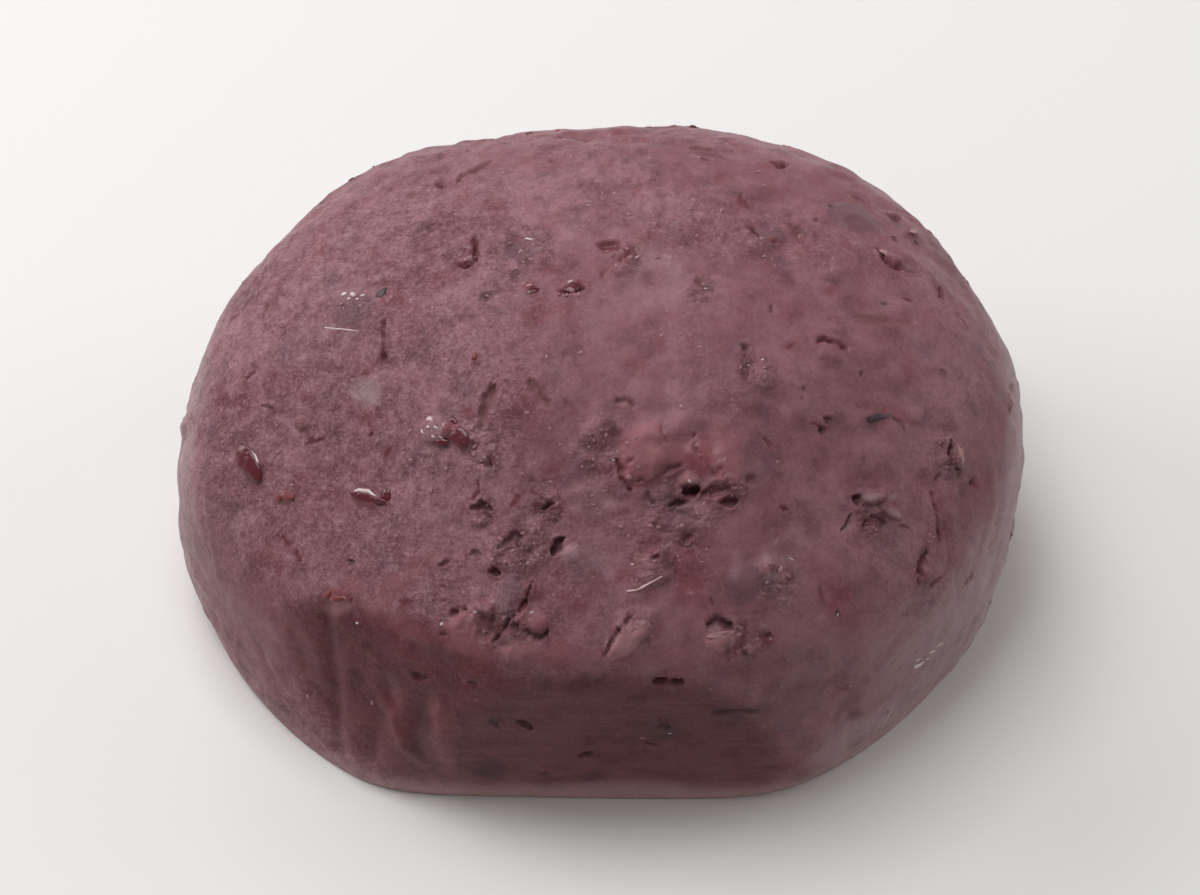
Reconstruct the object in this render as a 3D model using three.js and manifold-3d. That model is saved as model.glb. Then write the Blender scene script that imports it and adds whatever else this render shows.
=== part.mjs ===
// A small ohagi: sticky rice wrapped all round in coarse red-bean paste and pressed into a squat oval loaf.
// Its top is a soft dome, its sides are short walls pressed almost flat, and it rests on a flat base. The
// paste is half mashed, so bean skins, torn beans, pits and cracks show in it. The coat is unbroken, so the
// whole is one solid.
//
// Millimetres. +Z is up, the origin is on the base under the middle, +X runs along the loaf, and the pressed
// front wall faces -Y.
import * as THREE from "three";
import Module from "manifold-3d";

// ---- Driving dimensions -------------------------------------------------------------------------

const HEIGHT = 28; // base to the top of the dome
const BELLY = 8.3; // height of the widest section, which is also the centre that the form is measured from
const CENTRE = new THREE.Vector3(-0.11, -1.23, BELLY); // a little off the middle, as the loaf is uneven
const HALF_LENGTH = 30.3; // of the plan oval along X, before the walls are pressed
const HALF_WIDTH = { front: 23.9, back: 24.8 }; // of the plan oval along Y
const UNDER = 16.9; // how far below the belly the oval would close if the base didn't cut it
const PLAN_POWER = 2.3; // 2 is an ellipse, more is squarer
const DOME_POWER = 2.53; // the same for the dome's section
const YAW = THREE.MathUtils.degToRad(1); // the loaf lies turned this far in its own frame
const LEAN = new THREE.Vector2(0.04, 0.1); // sideways drift of the dome for each millimetre of height

// The walls that pressing has flattened, with a crisp rim: the way each faces, in degrees round from +X, its
// distance from the centre, and how far it leans back.
const WALLS = [
  { faces: -91, at: 21.7, leans: -2 }, // front
  { faces: -122, at: 22.8, leans: 20 }, // bevel at the front left corner
];
// The other sides, which are flatter than the dome but pass into it softly.
const SIDES = [
  { faces: -143, at: 27.2, leans: 9 },
  { faces: 178, at: 31.4, leans: 18 }, // left end
  { faces: 135, at: 27.8, leans: 1 },
  { faces: 92, at: 28, leans: -1 }, // back
  { faces: 45, at: 32.7, leans: 0 },
  { faces: -22, at: 34, leans: 9 }, // right end
  { faces: -45, at: 28, leans: 2 },
];
// The flatter slopes that lead from the top down to the front rim.
const SHOULDERS = [
  { faces: -90, at: 19.7, leans: 58 },
  { faces: -132, at: 20.1, leans: 50 },
  { faces: -48, at: 22.8, leans: 50 },
];
// How sharp the edges are, as the power that joins what meets there.
const WALL_CORNER = 60; // between two walls or two shoulders
const SIDE_CORNER = 26; // between two sides
const SHOULDER_EDGE = 24; // between the shoulders and the dome
const SIDE_EDGE = 13; // between the sides and the dome
const RIM = 40; // where the walls meet all of these

// The view that the lists of marks below are read from: towards the front wall from above, in pixels of a
// picture of 1200 x 895. The aim is the point of the loaf that shows at the middle.
const VIEW = {
  middle: [594.7, 452.3],
  pixelsPerMm: 14.12,
  distance: 420,
  elevation: THREE.MathUtils.degToRad(54),
  aim: new THREE.Vector3(CENTRE.x, CENTRE.y, 12),
};

// Pits and cracks: the points in that view that each runs through, half its width, and its depth.
const HOLLOWS = [
  { at: [[644, 488], [690, 494], [732, 502]], wide: 1, deep: 1.4 }, // under the torn bean
  { at: [[548, 547], [560, 544]], wide: 0.8, deep: 1.3 }, // crumbled patch left of the middle
  { at: [[472, 511], [500, 548], [527, 546]], wide: 0.7, deep: 0.6 },
  { at: [[488, 616], [498, 634], [514, 627], [544, 640]], wide: 1, deep: 1.3 }, // hole above the front rim
  { at: [[527, 590], [516, 618]], wide: 0.7, deep: 0.8 },
  { at: [[440, 568], [480, 553]], wide: 0.6, deep: 0.4 },
  { at: [[710, 621], [731, 622]], wide: 0.8, deep: 1.3 }, // behind the pale flap
  { at: [[602, 654], [634, 618]], wide: 0.7, deep: 0.7 },
  { at: [[876, 248], [889, 261], [905, 271]], wide: 0.8, deep: 1.2 }, // back right
  { at: [[816, 345], [845, 351]], wide: 0.6, deep: 0.7 },
  { at: [[743, 344], [757, 370]], wide: 0.6, deep: 0.7 },
  { at: [[475, 241], [469, 262]], wide: 0.6, deep: 0.9 },
  { at: [[696, 156], [710, 160]], wide: 0.6, deep: 0.6 },
  { at: [[774, 165], [788, 166]], wide: 0.6, deep: 0.8 },
  { at: [[384, 325], [380, 361]], wide: 0.5, deep: 0.7 },
  { at: [[485, 389], [481, 429]], wide: 0.6, deep: 0.6 },
  { at: [[948, 441], [957, 477]], wide: 0.6, deep: 0.9 }, // right end
  { at: [[927, 563], [919, 586]], wide: 0.6, deep: 0.7 },
  { at: [[858, 494], [861, 503]], wide: 0.8, deep: 1 },
  { at: [[295, 551], [300, 561]], wide: 0.6, deep: 0.7 }, // left end
  { at: [[286, 578], [307, 588]], wide: 0.6, deep: 0.5 },
  { at: [[414, 671], [428, 675]], wide: 0.6, deep: 0.7 }, // front wall
  { at: [[489, 716], [499, 726]], wide: 0.6, deep: 0.6 },
  { at: [[659, 680], [678, 681]], wide: 0.7, deep: 1.1 },
  { at: [[712, 708], [752, 709]], wide: 0.8, deep: 0.5 },
  { at: [[578, 753], [592, 752]], wide: 0.6, deep: 0.7 },
  { at: [[485, 774], [515, 778]], wide: 0.8, deep: 0.5 },
  { at: [[842, 690], [848, 715], [856, 745]], wide: 1.2, deep: 0.4 }, // crease at the front wall's right end
];

// Bean skins, torn beans and flakes that stand proud: the middle of each in the view, its half length and
// half width, its height, and how far its long way is turned from the picture's horizontal, in degrees.
const PROUD = [
  { at: [650, 461], long: 2.4, wide: 1.7, high: 0.6, turn: 15 }, // torn bean, left half
  { at: [709, 460], long: 2.2, wide: 1.7, high: 0.6, turn: -15 }, // torn bean, right half
  { at: [622, 645], long: 1.9, wide: 0.9, high: 0.7, turn: 42 }, // pale flap on the front rim
  { at: [722, 636], long: 1.1, wide: 0.7, high: 0.8, turn: 5 },
  { at: [445, 434], long: 2, wide: 1.2, high: 0.55, turn: -15 }, // wet beans on the left
  { at: [250, 464], long: 1.3, wide: 0.7, high: 0.4, turn: -50 },
  { at: [370, 496], long: 1.6, wide: 0.7, high: 0.45, turn: -8 },
  { at: [350, 310], long: 2.3, wide: 1.7, high: 0.4, turn: 10 },
  { at: [301, 423], long: 0.9, wide: 0.6, high: 0.4, turn: 0 },
  { at: [765, 230], long: 1.7, wide: 1, high: 0.4, turn: -15 }, // skins at the back right
  { at: [853, 214], long: 2.5, wide: 1.7, high: 0.35, turn: -10 },
  { at: [1008, 403], long: 1.2, wide: 1, high: 0.4, turn: 75 }, // on the right outline
  { at: [882, 505], long: 1.4, wide: 0.9, high: 0.4, turn: 15 },
  { at: [338, 598], long: 1.2, wide: 0.8, high: 0.5, turn: 30 }, // corner of the front wall
];

const SWELLS = { strength: 0.07, waves: 9, shortest: 12, longest: 24 }; // kneading left in the paste
const FOLDS = { count: 15, wide: 2.2, deep: 0.22, top: 15 }; // upright folds round the walls
const SCATTER = { pits: 26, skins: 20, seed: 20240 }; // marks where the view doesn't reach

const CELLS = 15; // coarse cells along each edge of the cube that the surface is mapped from
const SPLIT = 4; // a cell that holds a mark is split into this many each way
const NEAR_A_MARK = 1; // a cell is split if its middle is this close to a mark's edge

// ---- Form ---------------------------------------------------------------------------------------

for (const flat of [...WALLS, ...SIDES, ...SHOULDERS]) {
  const fromTop = Math.PI / 2 - THREE.MathUtils.degToRad(flat.leans);
  const fromY = Math.PI / 2 - THREE.MathUtils.degToRad(flat.faces);
  const yUp = new THREE.Vector3().setFromSphericalCoords(1, fromTop, fromY);
  flat.normal = new THREE.Vector3(yUp.x, yUp.z, yUp.y);
}

// A blend of sizes that is the largest of them when one is well ahead, and rounds off between equals.
function powerSum(sizes, power) {
  const sum = sizes.reduce((total, size) => total + Math.abs(size) ** power, 0);
  return sum ** (1 / power);
}

// How far the offset p lies past a set of flats, as a share of their distances from the centre.
const reachOfFlats = (flats, p, corner) =>
  powerSum(flats.map((flat) => Math.max(0, p.dot(flat.normal) / flat.at)), corner);

// How many times as far from the centre as the smooth surface the offset p is: under 1 inside, over 1 out.
// The dome is a superellipsoid, the flats are planes, and power means join them with rounded edges.
function reach(p) {
  const x0 = p.x - LEAN.x * p.z;
  const y0 = p.y - LEAN.y * p.z;
  const x = x0 * Math.cos(YAW) + y0 * Math.sin(YAW);
  const y = y0 * Math.cos(YAW) - x0 * Math.sin(YAW);
  const halfHeight = p.z > 0 ? HEIGHT - BELLY : UNDER;
  const halfWidth = y < 0 ? HALF_WIDTH.front : HALF_WIDTH.back;
  const plan = powerSum([x / HALF_LENGTH, y / halfWidth], PLAN_POWER);
  const oval = powerSum([plan, p.z / halfHeight], DOME_POWER);
  const dome = powerSum([oval, reachOfFlats(SHOULDERS, p, WALL_CORNER)], SHOULDER_EDGE);
  const body = powerSum([dome, reachOfFlats(SIDES, p, SIDE_CORNER)], SIDE_EDGE);
  return powerSum([body, reachOfFlats(WALLS, p, WALL_CORNER)], RIM);
}

// The smooth surface's point along a direction from the centre.
const surfaceAlong = (direction) => direction.clone().divideScalar(reach(direction)).add(CENTRE);

const AXES = [new THREE.Vector3(1, 0, 0), new THREE.Vector3(0, 1, 0), new THREE.Vector3(0, 0, 1)];

// The smooth surface's outward normal at one of its points: the slope of reach, by small steps.
function normalAt(point) {
  const step = 0.02;
  const slope = (axis) => {
    const offset = point.clone().sub(CENTRE);
    const ahead = reach(offset.clone().addScaledVector(axis, step));
    return ahead - reach(offset.addScaledVector(axis, -step));
  };
  return new THREE.Vector3(...AXES.map(slope)).normalize();
}

// The point of the smooth surface that shows at a pixel of the view. It walks in along the line of sight to
// the first step inside, and halves that step.
function surfaceAtPixel([column, row]) {
  const forward = new THREE.Vector3(0, Math.cos(VIEW.elevation), -Math.sin(VIEW.elevation));
  const up = new THREE.Vector3(0, Math.sin(VIEW.elevation), Math.cos(VIEW.elevation));
  const focal = VIEW.pixelsPerMm * VIEW.distance;
  const sight = forward.clone().multiplyScalar(focal);
  sight.x += column - VIEW.middle[0];
  sight.addScaledVector(up, VIEW.middle[1] - row).normalize();
  const eye = VIEW.aim.clone().addScaledVector(forward, -VIEW.distance);
  const at = (along) => eye.clone().addScaledVector(sight, along);
  const inside = (along) => reach(at(along).sub(CENTRE)) < 1;
  let near = VIEW.distance - HALF_LENGTH * 1.4;
  const last = VIEW.distance + HALF_LENGTH;
  const stride = 0.25;
  while (!inside(near + stride) && near < last) near += stride;
  let far = near + stride;
  for (let halving = 0; halving < 20; halving++) {
    const middle = (near + far) / 2;
    if (inside(middle)) far = middle;
    else near = middle;
  }
  return at(near);
}

// ---- Marks in the paste -------------------------------------------------------------------------

// A seeded source of even random numbers from 0 to 1, so that every build is alike.
function randomSource(seed) {
  let state = seed;
  return () => {
    state = (state * 1664525 + 1013904223) % 4294967296;
    return state / 4294967296;
  };
}

const random = randomSource(SCATTER.seed);
const between = (low, high) => low + (high - low) * random();

// A random direction, even over the sphere.
function randomDirection() {
  const height = between(-1, 1);
  const turn = between(0, 2 * Math.PI);
  const radius = Math.sqrt(1 - height * height);
  return new THREE.Vector3(radius * Math.cos(turn), radius * Math.sin(turn), height);
}

// A hollow that follows a line of surface points.
const hollow = (points, wide, deep) => ({ points, wide, deep });

// A bean skin or flake on the surface, with its own long and cross directions.
function skin(point, longWay, long, wide, high) {
  const normal = normalAt(point);
  const along = longWay.clone().addScaledVector(normal, -longWay.dot(normal)).normalize();
  return { point, along, across: normal.clone().cross(along), long, wide, high };
}

const hollows = HOLLOWS.map((mark) => hollow(mark.at.map(surfaceAtPixel), mark.wide, mark.deep));

const skins = PROUD.map((mark) => {
  const turn = THREE.MathUtils.degToRad(mark.turn);
  const step = 6; // pixels
  const ahead = [mark.at[0] + step * Math.cos(turn), mark.at[1] - step * Math.sin(turn)];
  const point = surfaceAtPixel(mark.at);
  return skin(point, surfaceAtPixel(ahead).sub(point), mark.long, mark.wide, mark.high);
});

// True where the view looks square enough at the surface for the lists above to cover it.
function isSeen(point) {
  const towardsEye = new THREE.Vector3(0, -Math.cos(VIEW.elevation), Math.sin(VIEW.elevation));
  return normalAt(point).dot(towardsEye) > 0.2;
}

// Random surface points where the view doesn't reach, clear of the base.
function hiddenPoints(count) {
  const found = [];
  while (found.length < count) {
    const point = surfaceAlong(randomDirection());
    if (point.z > 1 && !isSeen(point)) found.push(point);
  }
  return found;
}

for (const point of hiddenPoints(SCATTER.pits)) {
  const way = randomDirection().multiplyScalar(between(0.3, 1.5));
  const end = surfaceAlong(point.clone().add(way).sub(CENTRE));
  hollows.push(hollow([point, end], between(0.6, 1), between(0.4, 1.1)));
}
for (const point of hiddenPoints(SCATTER.skins)) {
  const long = between(0.9, 2.6);
  skins.push(skin(point, randomDirection(), long, long * between(0.45, 0.75), between(0.25, 0.5)));
}

const GOLDEN_ANGLE = Math.PI * (3 - Math.sqrt(5)); // spreads directions and phases evenly

// The directions of the swells lie on a golden-angle spiral over the sphere.
const swells = Array.from({ length: SWELLS.waves }, (_, i) => {
  const part = (i + 0.5) / SWELLS.waves;
  const height = 1 - 2 * part;
  const radius = Math.sqrt(1 - height * height);
  const turn = i * GOLDEN_ANGLE;
  const wave = new THREE.Vector3(radius * Math.cos(turn), radius * Math.sin(turn), height);
  wave.multiplyScalar((2 * Math.PI) / THREE.MathUtils.lerp(SWELLS.longest, SWELLS.shortest, part));
  return { wave, phase: turn };
});

const folds = Array.from({ length: FOLDS.count }, (_, i) => ({
  turn: ((i + 0.35 * Math.sin(3 * i)) / FOLDS.count) * 2 * Math.PI,
  deep: FOLDS.deep * (0.6 + 0.4 * Math.sin(5 * i)),
}));

// Distance from a point to the line of points that a hollow follows.
function distanceToHollow(point, mark) {
  const nearest = new THREE.Vector3();
  let least = Infinity;
  for (let i = 1; i < mark.points.length; i++) {
    new THREE.Line3(mark.points[i - 1], mark.points[i]).closestPointToPoint(point, true, nearest);
    least = Math.min(least, nearest.distanceTo(point));
  }
  return least;
}

// How far out from a skin's middle a point lies, as a share of the skin's own oval.
function shareOfSkin(point, mark) {
  const offset = point.clone().sub(mark.point);
  return Math.hypot(offset.dot(mark.along) / mark.long, offset.dot(mark.across) / mark.wide);
}

// Long soft waves: a sum of sines.
const swellAt = (point) =>
  SWELLS.strength * swells.reduce((sum, { wave, phase }) => sum + Math.sin(wave.dot(point) + phase), 0);

// Upright folds pressed into the walls, which fade out below the rim.
function foldAt(point) {
  const fade = THREE.MathUtils.smoothstep(FOLDS.top - point.z, 0, FOLDS.top / 2);
  const turn = Math.atan2(point.y, point.x);
  const radius = Math.hypot(point.x, point.y);
  let depth = 0;
  for (const fold of folds) {
    const round = THREE.MathUtils.euclideanModulo(turn - fold.turn, 2 * Math.PI);
    const apart = Math.min(round, 2 * Math.PI - round);
    depth += fold.deep * Math.exp(-(((apart * radius) / FOLDS.wide) ** 2));
  }
  return -depth * fade;
}

// How far the paste stands out from the smooth surface at a point.
function reliefAt(point) {
  let relief = swellAt(point) + foldAt(point);
  for (const mark of skins) {
    const share = shareOfSkin(point, mark);
    if (share < 1) relief += mark.high * Math.sqrt(1 - share * share);
  }
  let cut = 0;
  for (const mark of hollows) {
    const share = distanceToHollow(point, mark) / mark.wide;
    if (share < 1.25) cut = Math.max(cut, mark.deep * (1 - (share / 1.25) ** 2));
  }
  return relief - cut;
}

const isNearMark = (point) =>
  hollows.some((mark) => distanceToHollow(point, mark) < mark.wide + NEAR_A_MARK) ||
  skins.some((mark) => point.distanceTo(mark.point) < mark.long + NEAR_A_MARK / 2);

// ---- Mesh ---------------------------------------------------------------------------------------

// The surface is mapped from a cube whose faces are ruled into a fine lattice. Whole-number lattice points
// make the cube's edges and the split cells meet exactly.
const LATTICE = CELLS * SPLIT;

// The direction of a lattice point, drawn out to the loaf's own proportions, so that cells come out nearly
// square.
function directionOf(lattice) {
  const [x, y, z] = lattice.map((i) => Math.tan(((2 * i) / LATTICE - 1) * (Math.PI / 4)));
  return new THREE.Vector3(x * HALF_LENGTH, y * HALF_WIDTH.front, z * (HEIGHT / 2));
}

const positions = [];
const indexOf = new Map();

function addVertex(direction) {
  const point = surfaceAlong(direction);
  point.addScaledVector(normalAt(point), reliefAt(point));
  positions.push(point.x, point.y, point.z);
  return positions.length / 3 - 1;
}

function vertexAt(lattice) {
  const key = lattice.join();
  if (!indexOf.has(key)) indexOf.set(key, addVertex(directionOf(lattice)));
  return indexOf.get(key);
}

// The six faces of the cube: the axis each is square to and which side of it, and the two axes that rule it.
const FACES = [0, 1, 2].flatMap((axis) => [0, LATTICE].map((side) => ({ axis, side })));

function latticeOn({ axis, side }, i, j) {
  const point = [0, 0, 0];
  point[axis] = side;
  point[(axis + 1) % 3] = i;
  point[(axis + 2) % 3] = j;
  return point;
}

const cells = [];
for (const face of FACES) {
  for (let i = 0; i < LATTICE; i += SPLIT) {
    for (let j = 0; j < LATTICE; j += SPLIT) {
      const middle = surfaceAlong(directionOf(latticeOn(face, i + SPLIT / 2, j + SPLIT / 2)));
      cells.push({ face, i, j, fine: middle.z > 0.5 && isNearMark(middle) });
    }
  }
}

const triangles = [];
const addTriangle = (face, a, b, c) => triangles.push(...(face.side ? [a, b, c] : [a, c, b]));

for (const { face, i, j, fine } of cells) {
  if (!fine) continue;
  for (let m = i; m < i + SPLIT; m++) {
    for (let n = j; n < j + SPLIT; n++) {
      const corners = [[m, n], [m + 1, n], [m + 1, n + 1], [m, n + 1]];
      const [a, b, c, d] = corners.map(([p, q]) => vertexAt(latticeOn(face, p, q)));
      addTriangle(face, a, b, c);
      addTriangle(face, a, c, d);
    }
  }
}

// A cell that isn't split takes in the lattice points that a split neighbour has put on their shared edge.
const takenByFine = new Set(indexOf.keys());
for (const { face, i, j, fine } of cells) {
  if (fine) continue;
  const ring = [];
  for (let k = 0; k < SPLIT; k++) ring.push([i + k, j]);
  for (let k = 0; k < SPLIT; k++) ring.push([i + SPLIT, j + k]);
  for (let k = 0; k < SPLIT; k++) ring.push([i + SPLIT - k, j + SPLIT]);
  for (let k = 0; k < SPLIT; k++) ring.push([i, j + SPLIT - k]);
  const kept = ring
    .map(([p, q]) => latticeOn(face, p, q))
    .filter((lattice, k) => k % SPLIT === 0 || takenByFine.has(lattice.join()))
    .map(vertexAt);
  if (kept.length === 4) {
    addTriangle(face, kept[0], kept[1], kept[2]);
    addTriangle(face, kept[0], kept[2], kept[3]);
    continue;
  }
  const middle = addVertex(directionOf(latticeOn(face, i + SPLIT / 2, j + SPLIT / 2)));
  kept.forEach((vertex, k) => addTriangle(face, vertex, kept[(k + 1) % kept.length], middle));
}

// ---- Flat base and the finished part ------------------------------------------------------------

const wasm = await Module();
wasm.setup();

// A closed surface as a solid.
function solidOf(vertices, faces) {
  const vertProperties = new Float32Array(vertices);
  const triVerts = new Uint32Array(faces);
  return new wasm.Manifold(new wasm.Mesh({ numProp: 3, vertProperties, triVerts }));
}

// What lies under the table that the loaf was set down on, as a solid.
function underTheTable() {
  const size = 4 * HALF_LENGTH;
  const box = new THREE.BoxGeometry(size, size, size).translate(0, 0, -size / 2);
  const corners = box.getAttribute("position");
  const unique = [];
  const renumbered = new Map();
  const faces = Array.from(box.index.array, (i) => {
    const corner = [corners.getX(i), corners.getY(i), corners.getZ(i)];
    const key = corner.join();
    if (!renumbered.has(key)) {
      renumbered.set(key, unique.length / 3);
      unique.push(...corner);
    }
    return renumbered.get(key);
  });
  return solidOf(unique, faces);
}

const loaf = solidOf(positions, triangles).subtract(underTheTable()).getMesh();

const geometry = new THREE.BufferGeometry();
geometry.setAttribute("position", new THREE.BufferAttribute(loaf.vertProperties, 3));
geometry.setIndex(new THREE.BufferAttribute(loaf.triVerts, 1));
geometry.computeVertexNormals();

const ohagi = new THREE.Mesh(
  geometry,
  new THREE.MeshStandardMaterial({ color: 0x744f54, roughness: 0.5, metalness: 0 }), // mauve-brown bean paste
);
ohagi.name = "ohagi";

const part = new THREE.Group();
part.add(ohagi);

export default part;
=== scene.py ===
"""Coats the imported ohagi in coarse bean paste, adds its bean skins, torn beans and crumbs, and lights it.

All shapes are worked out in millimetres and put into Blender in metres. The loaf's form and the view that
the marks are read from are the ones its solid is made with.
"""

import bpy
import numpy as np
from bpy.props import FloatProperty, FloatVectorProperty, IntProperty, PointerProperty
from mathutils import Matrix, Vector


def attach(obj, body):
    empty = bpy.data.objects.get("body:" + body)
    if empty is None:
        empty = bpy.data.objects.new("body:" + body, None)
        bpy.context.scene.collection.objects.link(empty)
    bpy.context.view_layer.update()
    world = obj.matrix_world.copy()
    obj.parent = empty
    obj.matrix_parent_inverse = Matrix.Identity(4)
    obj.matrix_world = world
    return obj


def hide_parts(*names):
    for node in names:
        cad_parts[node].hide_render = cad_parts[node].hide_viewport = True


bl_info = {
    "name": "Ohagi Coat",
    "version": (1, 0, 0),
    "blender": (4, 5, 0),
    "location": "3D View > Sidebar > Ohagi",
    "description": "Coats a small ohagi in coarse bean paste and sets up its picture",
    "category": "Object",
}

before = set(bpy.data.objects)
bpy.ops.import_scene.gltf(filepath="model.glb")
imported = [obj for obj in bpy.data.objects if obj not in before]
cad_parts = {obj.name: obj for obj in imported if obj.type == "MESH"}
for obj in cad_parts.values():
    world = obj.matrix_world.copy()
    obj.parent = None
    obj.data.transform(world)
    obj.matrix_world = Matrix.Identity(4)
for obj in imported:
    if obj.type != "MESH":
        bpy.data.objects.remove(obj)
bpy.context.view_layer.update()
NODE = "ohagi"
BODY = "root"

MM = 0.001  # metres in a millimetre
GOLDEN = np.pi * (3 - np.sqrt(5))  # the golden angle, which spreads directions and phases evenly
TINY = 1e-9

# ---- The loaf's form, in millimetres ----------------------------------------------------------------------

BELLY = 8.3  # height of the widest section, which is also the centre that the form is measured from
CENTRE = np.array([-0.11, -1.23, BELLY])
UNDER = 16.9  # how far below the belly the oval would close if the base didn't cut it
YAW = np.radians(1)
LEAN = (0.04, 0.1)  # sideways drift of the dome for each millimetre of height

# Pressed walls with a crisp rim: the way each faces in degrees round from +X, its distance from the centre,
# and how far it leans back.
WALLS = [
    (-91, 21.7, -2),
    (-122, 22.8, 20),
]
# The other sides, which pass into the dome softly, listed like the walls.
SIDES = [
    (-143, 27.2, 9),
    (178, 31.4, 18),
    (135, 27.8, 1),
    (92, 28, -1),
    (45, 32.7, 0),
    (-22, 34, 9),
    (-45, 28, 2),
]
# The flatter slopes between the top and the front rim, listed like the walls.
SHOULDERS = [
    (-90, 19.7, 58),
    (-132, 20.1, 50),
    (-48, 22.8, 50),
]

# How sharp the edges are, as the power that joins what meets there.
WALL_CORNER = 60  # between two walls or two shoulders
SIDE_CORNER = 26  # between two sides
SHOULDER_EDGE = 24  # between the shoulders and the dome
SIDE_EDGE = 13  # between the sides and the dome
RIM = 40  # where the walls meet all of these

# The view that the marks are read from, in pixels of a picture of 1200 x 895.
PICTURE = (1200, 895)
VIEW_MIDDLE = (594.7, 452.3)  # where the aim point shows
PIXELS_PER_MM = 14.12
AIM = np.array([CENTRE[0], CENTRE[1], 12])
SIGHT_STEP = 0.5  # first steps along a line of sight, in millimetres
HALVINGS = 18  # of that step, to find the surface
AHEAD = 6  # pixels from a mark's middle to the one that gives its turn

# ---- Marks in the paste -----------------------------------------------------------------------------------
# Each mark is placed by the points of the view that it runs through, and its tint says what its colour leans
# to, or "" for plain paste.

# Each tint's colour setting and how strongly it covers the paste, in the order that they are laid on it.
TINTS = {
    "g": ("grey", 0.6),
    "b": ("brown", 0.6),
    "r": ("red", 0.7),
    "p": ("peach", 0.7),
    "s": ("slate", 0.8),
    # f: painted highlight.
    "f": ("painted_highlight", 0.6),
    "k": ("pink", 0.7),
    # w: whitish haze patches. The same colour is laid as painted sheen on the end walls.
    "w": ("haze_and_sheen", 0.8),
    # d: painted shade in pits, holes and hollows, and some dark spots of paste.
    "d": ("dark", 0.7),
}

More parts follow.
